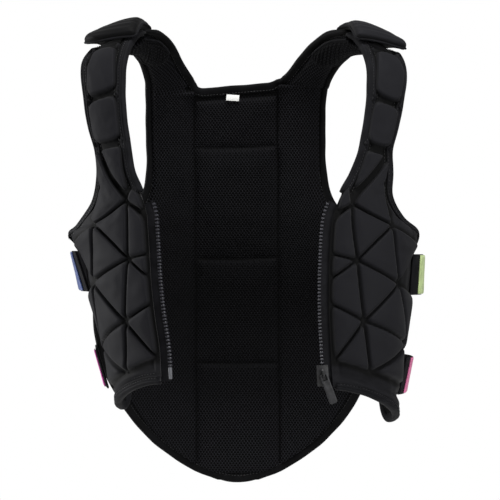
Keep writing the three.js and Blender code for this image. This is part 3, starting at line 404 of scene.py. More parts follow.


# Closely woven nylon, dyed black: matt and slightly blue. Shade is painted into its colour, lighter on the
# raised blocks and almost black down in the grooves. Its weave is too fine to show, so a faint cross wave
# stands for it, drawn far coarser, at 16 mm, which only breaks up the light on the flat faces.
shell, shell_shader = new_material(
    "black_woven_nylon_shell",
    {"Roughness": 0.62, "Specular IOR Level": 0.05, "Sheen Weight": 0.05, "Sheen Roughness": 0.5}
)
# painted shade: the level stored on each piece lightens the raised foam and darkens the grooves and seams
shell_painted_shade = add_node(shell, "ShaderNodeAttribute", attribute_name="painted_shade_level")
shell_coords = add_node(shell, "ShaderNodeTexCoord")
shell_fade = add_node(
    shell, "ShaderNodeTexNoise", {"Scale": 22.0, "Detail": 4.0},
    {"Vector": shell_coords.outputs["Object"]}
)
shell_tone = add_node(
    shell, "ShaderNodeMath", {1: 0.25}, {0: shell_fade.outputs["Fac"]}, operation="MULTIPLY"
)
shell_sum = add_node(
    shell, "ShaderNodeMath", {}, {0: shell_tone.outputs[0], 1: shell_painted_shade.outputs["Fac"]},
    operation="ADD"
)
shell_ramp = add_node(shell, "ShaderNodeValToRGB", {}, {"Fac": shell_sum.outputs[0]})
set_tones(shell_ramp, (0.1, linear("#020202")), (0.95, linear("#151518")))
shell.node_tree.links.new(shell_ramp.outputs["Color"], shell_shader.inputs["Base Color"])
shell_weave_a = add_node(
    shell, "ShaderNodeTexWave", {"Scale": 0.2, "Distortion": 0.6, "Detail": 1.0},
    {"Vector": shell_coords.outputs["UV"]}, bands_direction="X"
)
shell_weave_b = add_node(
    shell, "ShaderNodeTexWave", {"Scale": 0.2, "Distortion": 0.6, "Detail": 1.0},
    {"Vector": shell_coords.outputs["UV"]}, bands_direction="Y"
)
shell_weave = add_node(
    shell, "ShaderNodeMath", {}, {0: shell_weave_a.outputs["Fac"], 1: shell_weave_b.outputs["Fac"]},
    operation="MULTIPLY"
)
shell_bump = add_node(
    shell, "ShaderNodeBump", {"Strength": 0.35, "Distance": 0.0002}, {"Height": shell_weave.outputs[0]}
)
shell.node_tree.links.new(shell_bump.outputs["Normal"], shell_shader.inputs["Normal"])

# Spacer mesh, warp-knitted polyester dyed black: round dark holes 3.9 mm apart in staggered rows, with the
# lighter threads round them, drawn as coarse as the photo shows them.
lining, lining_shader = new_material(
    "black_spacer_mesh", {"Roughness": 0.6, "Specular IOR Level": 0.04, "Sheen Weight": 0.01}
)
lining_coords = add_node(lining, "ShaderNodeTexCoord")
HOLE_PITCH, HOLE_ROWS = 0.39, 0.56
nearest = []
for shift in ((0.0, 0.0), (0.5, 0.5)):
    cells = add_node(
        lining, "ShaderNodeVectorMath",
        {1: (1 / HOLE_PITCH, 1 / HOLE_ROWS, 0), 2: (shift[0], shift[1], 0)},
        {0: lining_coords.outputs["UV"]}, operation="MULTIPLY_ADD"
    )
    within = add_node(lining, "ShaderNodeVectorMath", {}, {0: cells.outputs[0]}, operation="FRACTION")
    centred = add_node(
        lining, "ShaderNodeVectorMath",
        {1: (HOLE_PITCH, HOLE_ROWS, 0), 2: (-HOLE_PITCH / 2, -HOLE_ROWS / 2, 0)}, {0: within.outputs[0]},
        operation="MULTIPLY_ADD"
    )
    flat = add_node(
        lining, "ShaderNodeVectorMath", {1: (1, 1, 0)}, {0: centred.outputs[0]}, operation="MULTIPLY"
    )
    nearest.append(add_node(lining, "ShaderNodeVectorMath", {}, {0: flat.outputs[0]}, operation="LENGTH"))
hole = add_node(
    lining, "ShaderNodeMath", {}, {0: nearest[0].outputs["Value"], 1: nearest[1].outputs["Value"]},
    operation="MINIMUM"
)
rim = add_node(
    lining, "ShaderNodeMapRange", {"From Min": 0.1, "From Max": 0.21}, {"Value": hole.outputs[0]},
    interpolation_type="SMOOTHSTEP"
)
# painted shade: the level stored on each piece darkens the mesh's threads in the seams, towards pad edges and
# over the middle of the back
lining_level = add_node(lining, "ShaderNodeAttribute", attribute_name="painted_shade_level")
lining_painted_shade = add_node(lining, "ShaderNodeMapRange", {}, {"Value": lining_level.outputs["Fac"]})
lining_tone = add_node(
    lining, "ShaderNodeMath", {}, {0: rim.outputs["Result"], 1: lining_painted_shade.outputs["Result"]},
    operation="MULTIPLY"
)
lining_ramp = add_node(lining, "ShaderNodeValToRGB", {}, {"Fac": lining_tone.outputs[0]})
set_tones(lining_ramp, (0.0, linear("#010101")), (1.0, linear("#202024")))
lining.node_tree.links.new(lining_ramp.outputs["Color"], lining_shader.inputs["Base Color"])
lining_bump = add_node(
    lining, "ShaderNodeBump", {"Strength": 0.8, "Distance": 0.0009}, {"Height": rim.outputs["Result"]}
)
lining.node_tree.links.new(lining_bump.outputs["Normal"], lining_shader.inputs["Normal"])

front_edges = {}
for name, side in (("left", -1), ("right", 1)):
    rows = FRONT_ROWS[name]
    last = len(rows) - 1
    sign = -side
    which = 0 if side < 0 else 1
    cloth = lambda t, s, rows=rows, side=side: front_cloth(rows, side, t, s)
    top_row, foot_row = 0.13, last - 0.13
    inner_edge = lambda t: np.clip(EDGE - (t - ZIP_TOP) * EDGE / 1.37, 0.0, EDGE)
    outer_edge = lambda t, rows=rows, foot_row=foot_row: row_value(rows, 5, t) - EDGE - corner_cut(
        (foot_row - t) * ROW_STEP, HEM_CORNER
    )
    outlines = [[CORNERS[at][which] for at in block.split()] for block in BLOCKS]

    def pattern(t, s):
        depth = -row_value(rows, 2, t)
        spots = np.stack([s, depth], -1)
        height, beside = np.zeros(spots.shape[:-1]), np.full(spots.shape[:-1], 99.0)
        for number, outline in enumerate(outlines):
            within = inside_by(spots, outline, 0.24 if number < 2 else 0.6) - GROOVE / 2
            beside = np.minimum(beside, np.maximum(-within, 0))
            rise, crown = np.clip(within / BLOCK_SHOULDER, 0, 1), np.clip(within / BLOCK_CROWN, 0, 1)
            height = np.maximum(
                height, BLOCK_RELIEF * (0.8 * (1 - (1 - rise) ** 2) + 0.2 * (1 - (1 - crown) ** 2))
            )
        return height, beside

    def spread(down, across):
        t = np.linspace(top_row, foot_row, down + 1)[:, None] + np.zeros((1, across + 1))
        f = np.linspace(0, 1, across + 1)[None, :]
        a, b = inner_edge(t), outer_edge(t)
        return t, a + (b - a) * f

    t, s = spread(132, 44)
    height, _ = pattern(t, s)
    coarse, _ = lifted(cloth, t, s, height * BEFORE_BLOWING, sign, last)
    under, _ = lifted(cloth, t, s, np.full(t.shape, -PANEL_THICK), sign, last)
    held = np.where(height < 2.0, 1.0, np.where(height < 5.5, 0.5, 0.2))
    moved = blown_up(coarse, under, held, pressure=4.0, cap=2.2)

    down, across = 352, 124
    t, s = spread(down, across)
    height, beside = pattern(t, s)
    depth = -row_value(rows, 2, t)
    edge_gap = np.minimum(s - inner_edge(t), outer_edge(t) - s)
    edge_gap = np.minimum(edge_gap, np.minimum(t - top_row, foot_row - t) * ROW_STEP)
    band = np.exp(-(height / 0.8) ** 2)
    # the cloth dips beside the binding, wanders a little in the grooves and pleats above the hem
    lift = height * BEFORE_BLOWING
    lift -= 1.0 * band * np.exp(-((edge_gap - 9) / 1.6) ** 2)
    lift += 0.9 * band * eased(edge_gap / 6) * ripple(s, depth, 3 + which, 26)
    lift += 0.22 * ripple(s, depth, 9 + which, 52)
    hem = eased((depth + row_value(rows, 7, t) * eased(s / row_value(rows, 5, t)) - 392) / 12) * band
    lift += 1.3 * hem * np.sin(depth * TURN / 13 + ripple(s, depth, 5, 60) * 3)
    upper, _ = lifted(cloth, t, s, lift, sign, last)
    upper += finer(moved, down, across) * eased(height / BLOCK_RELIEF)[..., None]
    coarse_t, coarse_s = t[::2, ::2], s[::2, ::2]
    pillow = 1.6 * eased(edge_gap[::2, ::2] / 14) + 0.7 * ripple(coarse_s, coarse_t * 28, 31 + which, 40)
    tucked = 3.0 * (1 - eased((coarse_s - inner_edge(coarse_t)) / 9)) * eased((coarse_t - ZIP_TOP) * 2)
    lower, _ = lifted(cloth, coarse_t, coarse_s + tucked, -PANEL_THICK - pillow, sign, last)

    count = (down + 1) * (across + 1)
    faces = grid_faces(down, across).tolist() + grid_faces(down // 2, across // 2, count, True).tolist()
    fine_rim, wide_rim = grid_rim(down, across), grid_rim(down // 2, across // 2)
    for k in range(len(wide_rim)):
        a, b, c = fine_rim[2 * k], fine_rim[2 * k + 1], fine_rim[(2 * k + 2) % len(fine_rim)]
        faces.append([c, b, a, count + wide_rim[k], count + wide_rim[(k + 1) % len(wide_rim)]][::-1])
    if side > 0:
        faces = [face[::-1] for face in faces]
    uv = sheets(np.stack([s, depth], -1), np.stack([coarse_s, depth[::2, ::2]], -1)) / 10
    # painted shade: the shell is lighter on the raised blocks and almost black in and beside the grooves; the
    # lining inside gets one even level
    level = np.where(height > 0, 0.05 + 0.95 * height / BLOCK_RELIEF, 0.05 + 0.6 * eased((beside - 3.2) / 4))
    level = np.concatenate([level.reshape(-1), np.full(lower[..., 0].size, LINING_LEVEL)])
    panel = piece_from(
        f"front_{name}_foam_panel", sheets(upper, lower), faces,
        shell, uv, level
    )
    panel.data.materials.append(lining)
    panel.data.polygons.foreach_set("material_index", [1 if min(face) >= count else 0 for face in faces])
    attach(panel, "vest")
    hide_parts(f"front_panel_{name}")
    front_edges[name] = (cloth, sign, last, inner_edge, outer_edge, top_row, foot_row)


# Edge binding of the front panels: woven tape folded over the raw edge from the top of the zip round the
# armhole and hem, held by two rows of lockstitch in black thread.
def along_edge(cloth, sign, last, t, s, t_in, s_in, loop):
    # points along an edge and the ways out of the cloth and up from it; t_in and s_in lie inside the edge
    at, up = lifted(cloth, t, s, np.zeros(len(t)), sign, last)
    inside, _ = lifted(cloth, t_in, s_in, np.zeros(len(t)), sign, last)
    ahead = np.roll(at, -1, 0) - np.roll(at, 1, 0)
    if not loop:
        ahead[0], ahead[-1] = at[1] - at[0], at[-1] - at[-2]
    ahead /= np.maximum(np.linalg.norm(ahead, axis=1, keepdims=True), 1e-9)
    out = at - inside
    out -= (out * up).sum(1, keepdims=True) * up
    out -= (out * ahead).sum(1, keepdims=True) * ahead
    out /= np.maximum(np.linalg.norm(out, axis=1, keepdims=True), 1e-9)
    for _ in range(3):
        mixed = np.roll(out, 1, 0) + 2 * out + np.roll(out, -1, 0)
        if not loop:
            mixed[0], mixed[-1] = out[0], out[-1]
        out = mixed / np.maximum(np.linalg.norm(mixed, axis=1, keepdims=True), 1e-9)
    return at, out, up


def swept(frames, section, loop, wander=0.0, narrow=None, flat=None, middle=0.0):
    # a band with this section along an edge; narrow shrinks its inner reach and flat its thickness on the way
    at, out, up = frames
    section = np.array(section, float)
    narrow = np.ones(len(at)) if narrow is None else narrow
    flat = np.ones(len(at)) if flat is None else flat
    reach = np.where(section[None, :, 0] < 0, section[None, :, 0] * narrow[:, None], section[None, :, 0])
    rise = middle + (section[None, :, 1] - middle) * flat[:, None]
    lengths = np.concatenate([[0], np.cumsum(np.linalg.norm(np.diff(at, axis=0), axis=1))])
    drift = wander * (np.sin(lengths / 9.1) + 0.7 * np.sin(lengths / 5.3 + 1))
    rings = at[:, None] + out[:, None] * (
        reach + drift[:, None] * 0.5
    )[..., None] + up[:, None] * rise[..., None]
    n, count = len(section), len(at)
    faces = []
    for k in range(count if loop else count - 1):
        m = (k + 1) % count
        faces += [[k * n + i, k * n + (i + 1) % n, m * n + (i + 1) % n, m * n + i] for i in range(n)]
    if not loop:
        faces += [list(range(n))[::-1], [(count - 1) * n + i for i in range(n)]]
    around = np.concatenate([[0], np.cumsum(np.linalg.norm(np.diff(section, axis=0), axis=1))])
    uv = np.stack(
        [np.broadcast_to(around, (count, n)), np.broadcast_to(lengths[:, None], (count, n))], -1
    ) / 10
    return rings.reshape(-1, 3), faces, uv.reshape(-1, 2)


def stitched(name, frames, offset, rise, loop, thread, length=2.7, pitch=3.9, thick=0.34):
    # a row of stitches, each a slim spindle of a dozen faces
    at, out, up = frames
    line = at + out * offset + up * rise
    if loop:
        line, up = np.concatenate([line, line[:1]]), np.concatenate([up, up[:1]])
    lengths = np.concatenate([[0], np.cumsum(np.linalg.norm(np.diff(line, axis=0), axis=1))])
    starts = np.arange(1.0, lengths[-1] - pitch, pitch)
    place = lambda l: np.stack([np.interp(l, lengths, line[:, k]) for k in range(3)], -1)
    points, faces = [], []
    normals = np.stack([np.interp(starts, lengths, up[:, k]) for k in range(3)], -1)
    a, b = place(starts), place(starts + length)
    for p, q, n in zip(a, b, normals):
        d = (q - p) / max(np.linalg.norm(q - p), 1e-9)
        w = np.cross(d, n)
        w /= max(np.linalg.norm(w), 1e-9)
        first = len(points)
        points.append(p - n * thick * 0.5)
        for f in (0.22, 0.78):
            c = p + (q - p) * f
            points += [c + w * thick, c + n * thick, c - w * thick, c - n * thick * 0.6]
        points.append(q - n * thick * 0.5)
        for i in range(4):
            m = (i + 1) % 4
            faces += [
                [first, first + 1 + m, first + 1 + i],
                [first + 1 + i, first + 1 + m, first + 5 + m, first + 5 + i],
                [first + 9, first + 5 + i, first + 5 + m]
            ]
    piece = piece_from(name, points, faces, thread)
    faced_out(piece)
    return piece


# Woven polyester binding tape, dyed black: a faint sheen on its fold. Its ribs are too fine to show, so they
# are drawn as a weak wave of 12 mm along the tape.
tape_cloth, tape_shader = new_material(
    "black_woven_binding_tape", {"Roughness": 0.68, "Specular IOR Level": 0.06, "Sheen Weight": 0.02}
)
tape_tones = (0.3, linear("#0a0a0c")), (0.75, linear("#151518"))
tape_coords = fade_colour(tape_cloth, tape_shader, {"Scale": 60.0, "Detail": 3.0}, *tape_tones)
tape_ribs = add_node(
    tape_cloth, "ShaderNodeTexWave", {"Scale": 0.26, "Distortion": 0.4, "Detail": 1.0},
    {"Vector": tape_coords.outputs["UV"]}, bands_direction="Y"
)
tape_bump = add_node(
    tape_cloth, "ShaderNodeBump", {"Strength": 0.3, "Distance": 0.0003},
    {"Height": tape_ribs.outputs["Fac"]}
)
tape_cloth.node_tree.links.new(tape_bump.outputs["Normal"], tape_shader.inputs["Normal"])

# Bonded nylon sewing thread, black: smoother than the cloth, so each stitch catches a small light.
thread, thread_shader = new_material("black_bonded_thread", {"Roughness": 0.45})
thread_tones = (0.0, linear("#070708")), (1.0, linear("#141417"))
fade_colour(thread, thread_shader, {"Scale": 400.0}, *thread_tones)

FRONT_FOLD = [
    # out from the edge, up: ridged on top, round the edge, flat below, and back inside along the cloth
    (-6.6, 0.2), (-6.3, 0.9), (-5.2, 1.2), (-4.4, 1.0), (-3.9, 0.3), (-3.4, 1.1), (-2.2, 1.4), (-1.2, 1.1),
    (-0.7, 0.4), (-0.2, 1.1), (1.0, 1.4), (2.3, 0.7), (3.4, -0.9), (3.7, -3.5), (3.4, -6.1), (2.2, -7.7),
    (0, -8.2), (-6.3, -7.9), (-6.6, -7.2), (0.4, -6.6), (1.6, -3.5), (0.4, -0.3),
]
CORNER_ROWS = 0.93
for name in ("left", "right"):
    cloth, sign, last, inner_edge, outer_edge, top_row, foot_row = front_edges[name]
    up_t = np.linspace(ZIP_TOP, top_row, 56)
    round_corner = foot_row - CORNER_ROWS * (1 - np.sin(np.linspace(0, math.pi / 2, 20)))
    down_t = np.concatenate([np.linspace(top_row, foot_row - CORNER_ROWS, 110)[:-1], round_corner])
    crest_s = np.linspace(float(inner_edge(top_row)), float(outer_edge(top_row)), 12)[1:-1]
    hem_s = np.linspace(float(outer_edge(foot_row)), 0.0, 38)[1:-1]
    t = np.concatenate([up_t, np.full(len(crest_s), top_row), down_t, np.full(len(hem_s), foot_row)])
    s = np.concatenate([inner_edge(up_t), crest_s, outer_edge(down_t), hem_s])
    down_in = down_t - 0.08 * np.clip(1 - (foot_row - down_t) * ROW_STEP / HEM_CORNER, 0, 1)
    t_in = np.concatenate(
        [up_t, np.full(len(crest_s), top_row + 0.1), down_in, np.full(len(hem_s), foot_row - 0.1)]
    )
    s_in = np.concatenate([inner_edge(up_t) + 2, crest_s, outer_edge(down_t) - 2, hem_s])
    frames = along_edge(cloth, sign, last, t, s, t_in, s_in, False)
    points, faces, uv = swept(
        frames, FRONT_FOLD, False, 0.35, flat=0.45 + 0.55 * eased((t - top_row) / 0.9), middle=-3.5
    )
    fold = piece_from(f"front_{name}_edge_binding", points, faces, tape_cloth, uv)
    faced_out(fold)
    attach(fold, "vest")
    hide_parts(f"front_binding_{name}")
    for row, (offset, rise) in enumerate(((-3.9, 0.75), (-8.9, -0.5))):
        seam = stitched(f"front_{name}_edge_stitches_{row + 1}", frames, offset, rise, False, thread)
        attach(seam, "vest")


# Separating zip, hanging undone: woven tape with a corded edge, moulded acetal teeth one every 4 mm on each
# half, a grey pin at the foot of the left half, and a cast slider with its pull tab at the foot of the right.
# It starts at a share of the way down the panel, and its last mm have no teeth.
TOOTH_PITCH, TAPE_MIDDLE, ZIP_FROM, TOOTHLESS = 4.0, -3.5, 11 / 20, {"left": 14, "right": 26}
TAPE_SECTION = [
    (-3, -3.0), (7.6, -3.0), (8.2, -2.2), (9.6, -2.2), (9.8, -3.5), (9.6, -4.8), (8.2, -4.8), (7.6, -4.0),
    (-3, -4.0)
]
TOOTH_FOOT, TOOTH_TALL, TOOTH_NECK = 8.6, 3.8, (1.4, 1.5)
TOOTH_HEAD = [(0.5, 1.55), (1.1, 1.0), (0.7, 0.58)]

# Acetal, moulded black: a smooth hard plastic with a soft gloss, so that every tooth catches a little light.
acetal, acetal_shader = new_material("black_moulded_acetal", {"Roughness": 0.33, "IOR": 1.48})
acetal_tones = (0.0, linear("#1c1c20")), (1.0, linear("#34343b"))
fade_colour(acetal, acetal_shader, {"Scale": 240.0, "Detail": 2.0}, *acetal_tones)

# One tooth is modelled, standing on x past the tape's corded edge: a neck drawn out to a wider rounded head
bpy.ops.object.select_all(action="DESELECT")
bpy.ops.mesh.primitive_cube_add(size=1, location=(TOOTH_FOOT + TOOTH_NECK[0] / 2, 0, 0))
tooth = bpy.context.object
bpy.ops.object.mode_set(mode="EDIT")
bpy.ops.transform.resize(value=TOOTH_NECK + (TOOTH_TALL,), center_override=tooth.location)
bpy.ops.object.mode_set(mode="OBJECT")
bpy.ops.object.transform_apply(location=True)
for part in (tooth.data.vertices, tooth.data.edges, tooth.data.polygons):
    part.foreach_set("select", [False] * len(part))
for face in tooth.data.polygons:
    face.select = face.normal.x > 0.9
reach = TOOTH_FOOT + TOOTH_NECK[0]
bpy.ops.object.mode_set(mode="EDIT")
bpy.ops.mesh.select_mode(type="FACE")
for ahead, widen in TOOTH_HEAD:
    reach += ahead
    bpy.ops.mesh.extrude_region_move(TRANSFORM_OT_translate={"value": (ahead, 0, 0)})
    bpy.ops.transform.resize(value=(1, widen, 1), center_override=(reach, 0, 0))
bpy.ops.mesh.select_mode(type="EDGE")
bpy.ops.mesh.select_all(action="DESELECT")
bpy.ops.mesh.edges_select_sharp(sharpness=math.radians(50))
bpy.ops.mesh.bevel(offset=0.25, segments=1, affect="EDGES")
bpy.ops.object.mode_set(mode="OBJECT")
tooth_points = np.array([list(point.co) for point in tooth.data.vertices])
tooth_faces = [list(face.vertices) for face in tooth.data.polygons]
bpy.data.objects.remove(tooth)

for name in ("left", "right"):
    cloth, sign, last, inner_edge, outer_edge, top_row, foot_row = front_edges[name]
    start_row = top_row + (foot_row - top_row) * ZIP_FROM
    t = np.linspace(start_row, foot_row, 60)
    s = inner_edge(t)
    frames = along_edge(cloth, sign, last, t, s, t, s + 2, False)
    points, faces, uv = swept(frames, TAPE_SECTION, False)
    tape = piece_from(f"zip_{name}_woven_tape", points, faces, tape_cloth, uv, smooth=False)
    faced_out(tape)
    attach(tape, "vest")
    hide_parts(f"zip_tape_{name}")

    at, out, up = frames
    lengths = np.concatenate([[0], np.cumsum(np.linalg.norm(np.diff(at, axis=0), axis=1))])
    between = lambda values, l: np.array([np.interp(l, lengths, values[:, k]) for k in range(3)])
    teeth = int((lengths[-1] - TOOTHLESS[name] - 2) // TOOTH_PITCH)
    points, faces = [], []
    for k in range(teeth):
        middle = 2 + (k + 0.5) * TOOTH_PITCH
        here, over, rise = between(at, middle), between(out, middle), between(up, middle)
        step = between(at, middle + 1) - between(at, middle - 1)
        step /= np.linalg.norm(step)
        first = len(points)
        points += list(here + rise * TAPE_MIDDLE + tooth_points @ np.array([over, step, rise]))
        faces += [[first + v for v in face] for face in tooth_faces]
    row = piece_from(f"zip_{name}_moulded_teeth", points, faces, acetal, smooth=False)
    faced_out(row)
    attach(row, "vest")
    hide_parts(f"zip_teeth_{name}")


# Zinc die casting under black baked paint, and the grey pin of moulded acetal: the parts' own solids with
# their edges rounded, since casting and moulding leave no sharp edge.
def rounded_copy(node, name, width, material):
    # a solid with its flat faces made whole again and its sharp edges rounded by a width in mm
    piece = bpy.data.objects.new(name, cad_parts[node].data.copy())
    bpy.context.collection.objects.link(piece)
    piece.data.materials.clear()
    piece.data.materials.append(material)
    bpy.ops.object.select_all(action="DESELECT")
    bpy.context.view_layer.objects.active = piece
    piece.select_set(True)
    bpy.ops.object.mode_set(mode="EDIT")
    bpy.ops.mesh.select_all(action="SELECT")
    bpy.ops.mesh.remove_doubles(threshold=0.00002)
    bpy.ops.mesh.dissolve_limited(angle_limit=math.radians(2))
    bpy.ops.object.mode_set(mode="OBJECT")
    rounding = piece.modifiers.new("rounded_edges", "BEVEL")
    rounding.width = width / 1000
    rounding.segments = 2
    rounding.limit_method = "ANGLE"
    rounding.angle_limit = math.radians(35)
    bpy.ops.object.modifier_apply(modifier=rounding.name)
    bpy.ops.object.shade_smooth_by_angle(angle=math.radians(32))
    piece.select_set(False)
    return piece


def recoloured(material, name, low, high):
    # the same cloth, casting or plastic in another colour
    copy = material.copy()
    copy.name = name
    ramp = next(node for node in copy.node_tree.nodes if node.bl_idname == "ShaderNodeValToRGB")
    for stop, colour in zip(ramp.color_ramp.elements, (low, high)):
        stop.color = linear(colour)
    return copy


casting, casting_shader = new_material(
    "black_baked_paint_on_zinc", {"Roughness": 0.5, "Specular IOR Level": 0.3}
)
casting_tones = (0.35, linear("#0a0a0b")), (0.8, linear("#1c1c1f"))
fade_colour(casting, casting_shader, {"Scale": 180.0, "Detail": 5.0}, *casting_tones)
grey_acetal = recoloured(acetal, "grey_moulded_acetal", "#434448", "#5a5b60")

slider = rounded_copy("zip_slider", "zip_cast_slider", 0.45, casting)
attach(slider, "vest")
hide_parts("zip_slider")
grey_casting = recoloured(casting, "grey_baked_paint_on_zinc", "#151517", "#28282b")
tab = rounded_copy("zip_pull", "zip_pull_tab", 0.4, grey_casting)
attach(tab, "zip_pull")
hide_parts("zip_pull")
pin = rounded_copy("zip_pin_left", "zip_left_pin", 0.5, grey_acetal)
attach(pin, "vest")
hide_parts("zip_pin_left")


# Back panel: soft foam pads between black cloth outside and spacer mesh inside, sewn down in two upright
# seams and three cross seams, so that the mesh puckers below each cross seam. Its two shoulder straps are cut
# in one with it.
BACK_ROWS = [
    # mid, y, z, neck, arm, turn, pitch, dip
    (0, 0.6, 6, 118, 172, 6, 90, 18), (-2, 34, 6, 99, 144, 8, 72, 17), (-5, 63, -5, 83, 131, 10, 54, 13),
    (-8, 86, -21, 71, 122, 12, 40, 10), (-10, 101, -38, 59, 117, 14, 24, 6),
    (-11, 108, -48, 50, 116, 14, 16, 4), (-12, 110, -54, 48, 115, 14, 12, 4),
    (-13, 117, -84, 0, 114, 16, 5, 0), (-13, 121, -120, 0, 114, 18, 2, 0),
    (-12, 123, -160, 0, 115, 22, 0, 0), (-12, 124, -190, 0, 126, 32, 0, 6),
    (-12, 124, -215, 0, 158, 50, 0, 12), (-12, 124, -245, 0, 196, 68, 0, 12),
    (-11, 123, -300, 0, 200, 66, -1, 6), (-11, 121, -350, 0, 194, 56, -2, 2),
    (-11, 119, -400, 0, 178, 44, -2, 0), (-10, 118, -440, 0, 156, 34, -2, 0),
    (-10, 117, -475, 0, 130, 24, -1, 0), (-10, 117, -505, 0, 98, 14, 0, 0),
    (-10, 117, -530, 0, 60, 6, 0, 0), (-10, 117, -546, 0, 20, 0, 0, 0),
]
BACK_HALF, PAD_RELIEF, BACK_RELIEF, SEAM_AT, NECKLINE, NECK_LEAST = 2.5, 7.0, 4.0, 52.0, 6, 50
# mm down from the crest, and how much a seam slants
CROSS_SEAMS = [(126.5, -0.03), (267.0, -0.02), (398.0, 0.0)]
BACK_CREST, BACK_FOOT = 0.12, len(BACK_ROWS) - 1.22
STRAP_STEP, TAIL_STEP = 30, 24


def back_cloth(t, across):
    # a point of the back's middle sheet, at a row and at mm across from its middle line
    t, across = np.broadcast_arrays(np.asarray(t, float), np.asarray(across, float))
    mid, y, z, neck, arm, turn, pitch, dip = (row_value(BACK_ROWS, k, t) for k in range(8))
    pitch, flat = np.radians(pitch), np.maximum(neck, NECK_LEAST)
    side, s = np.where(across < 0, -1.0, 1.0), np.abs(across)
    past = np.maximum(s - flat, 0)
    share = past / np.maximum(arm - flat, 1)
    along, off = wrapped(past, share, turn, 1.3)
    px = mid + side * (np.minimum(s, flat) + along)
    slant = 0.085 * np.clip(across, -56, 56) * np.exp(-((t - NECKLINE) / 1.1) ** 2)
    return np.stack([px, y - off * np.cos(pitch), z - off * np.sin(pitch) - dip * eased(share) + slant], -1)


def arm_at(rows):
    # mm from the middle line out to the inside of the binding
    return row_value(BACK_ROWS, 4, rows) - EDGE


def neck_at(rows):
    return np.maximum(row_value(BACK_ROWS, 3, rows) + EDGE, NECK_LEAST)


half, arms = 22, 60
fine_t = np.linspace(BACK_CREST, BACK_FOOT, 2000)
path = back_cloth(fine_t, np.zeros(2000))
length = np.concatenate([[0], np.cumsum(np.linalg.norm(np.diff(path, axis=0), axis=1))])
at_neck = np.interp(NECKLINE, fine_t, length)
strap_rows, body_rows = 60, 204
row_lengths = np.concatenate(
    [np.linspace(0, at_neck, strap_rows + 1), np.linspace(at_neck, length[-1], body_rows + 1)[1:]]
)
t = np.interp(row_lengths, length, fine_t)
arm = arm_at(t)
seam = np.where(t < NECKLINE + 0.01, neck_at(t), np.minimum(SEAM_AT, arm * 0.7))
f_in, f_out = np.arange(half) / half, np.arange(arms + 1) / arms
right = np.concatenate([seam[:, None] * f_in, seam[:, None] + (arm - seam)[:, None] * f_out], 1)
s = np.concatenate([-right[:, :0:-1], right], 1)
t = t[:, None] + np.zeros(s.shape)
down, across = s.shape[0] - 1, s.shape[1] - 1
depth = -row_value(BACK_ROWS, 2, t)
back_last = len(BACK_ROWS) - 1
neck, size = row_value(BACK_ROWS, 3, t), np.abs(s)
to_edge = arm_at(t) - size + 4.6 * (1 - eased((t - 8.5) / 2))
to_edge = np.minimum(to_edge, (BACK_FOOT - t) * TAIL_STEP)
to_edge = np.minimum(
    to_edge, np.where(t < NECKLINE, size - neck - EDGE, np.where(size < SEAM_AT, depth - 58, 99))
)
to_edge = np.minimum(to_edge, (t - BACK_CREST) * STRAP_STEP)
to_seam = np.where(t > NECKLINE + 0.2, np.abs(size - SEAM_AT), 99)
below = np.full(s.shape, 99.0)
for level, slope in CROSS_SEAMS:
    gap = depth - level - slope * s - 1.5 * np.cos(s / 52 * 1.57)
    to_seam = np.minimum(to_seam, np.where(size < SEAM_AT + 2, np.abs(gap), 99))
    below = np.where((gap > 0) & (gap < below), gap, below)
inner_gap = np.maximum(np.minimum(to_seam - 0.4, to_edge - 7.4), 0)
pad = 0.4 * (1 - (1 - np.clip(inner_gap / 6, 0, 1)) ** 2) + 0.6 * (
    1 - (1 - np.clip(inner_gap / 32, 0, 1)) ** 2
)
pucker = np.where(size < SEAM_AT, np.exp(-below / 18) * eased(below / 4), 0)
inner_lift = BACK_HALF + PAD_RELIEF * pad + 0.5 * pad * ripple(s, depth, 41, 70)
inner_lift += 1.7 * pucker * np.sin(s * TURN / 7.6 + 1.2 * np.sin(s / 17)) * eased(inner_gap / 3)
inner_lift -= 0.7 * np.exp(-((to_edge - 9) / 2.2) ** 2)
pad_rows = [60] + [cross[0] for cross in CROSS_SEAMS] + [548]
sag = np.zeros(s.shape)
for high, low in zip(pad_rows, pad_rows[1:]):
    sag = np.where((depth >= high) & (depth < low), (depth - high) / (low - high), sag)
inner_lift -= np.where(size < SEAM_AT, 5.0 * pad * (sag - 0.15), 0)
outer_lift = BACK_HALF + BACK_RELIEF * pad + 0.4 * pad * ripple(s, depth, 43, 60)
outer, _ = lifted(back_cloth, t, s, outer_lift, 1, back_last)
inner, _ = lifted(back_cloth, t, s, -inner_lift, 1, back_last)
body = slice(strap_rows, None)
bag_inner, bag_outer = inner[body][::3, ::2], outer[body][::3, ::2]
bag_gap = inner_gap[body][::3, ::2]
held = np.where(bag_gap < 2.5, 1.0, np.where(bag_gap < 9, 0.5, 0.2))
swell = finer(blown_up(bag_inner, bag_outer, held, pressure=4.0, cap=3.0), body_rows, across)
inner[body] += swell * (eased(inner_gap[body] / 6) * eased((t[body] - NECKLINE - 0.1) / 0.6))[..., None]

keep = np.ones((down, across), bool)
keep[:strap_rows, arms:across - arms] = False
count = (down + 1) * (across + 1)
faces = grid_faces(down, across, 0, False, keep).tolist()
faces += grid_faces(down, across, count, True, keep).tolist()
held_cells = np.pad(keep, 1)
for i in range(down):
    for j in range(across):
        if not keep[i, j]:
            continue
        a = i * (across + 1) + j
        b, c, d = a + across + 1, a + across + 2, a + 1
        sides = ((i, j + 1, a, d), (i + 2, j + 1, c, b), (i + 1, j, b, a), (i + 1, j + 2, d, c))
        for row, column, p, q in sides:
            if not held_cells[row, column]:
                faces.append([p, q, q + count, p + count])
used = np.unique(np.array([v for face in faces for v in face]))
renumber = np.full(2 * count, -1)
renumber[used] = np.arange(len(used))
faces = [[renumber[v] for v in face] for face in faces]
points = sheets(outer, inner)[used]
uv = np.tile(np.stack([s, row_lengths[:, None] + np.zeros(s.shape)], -1).reshape(-1, 2) / 10, (2, 1))[used]
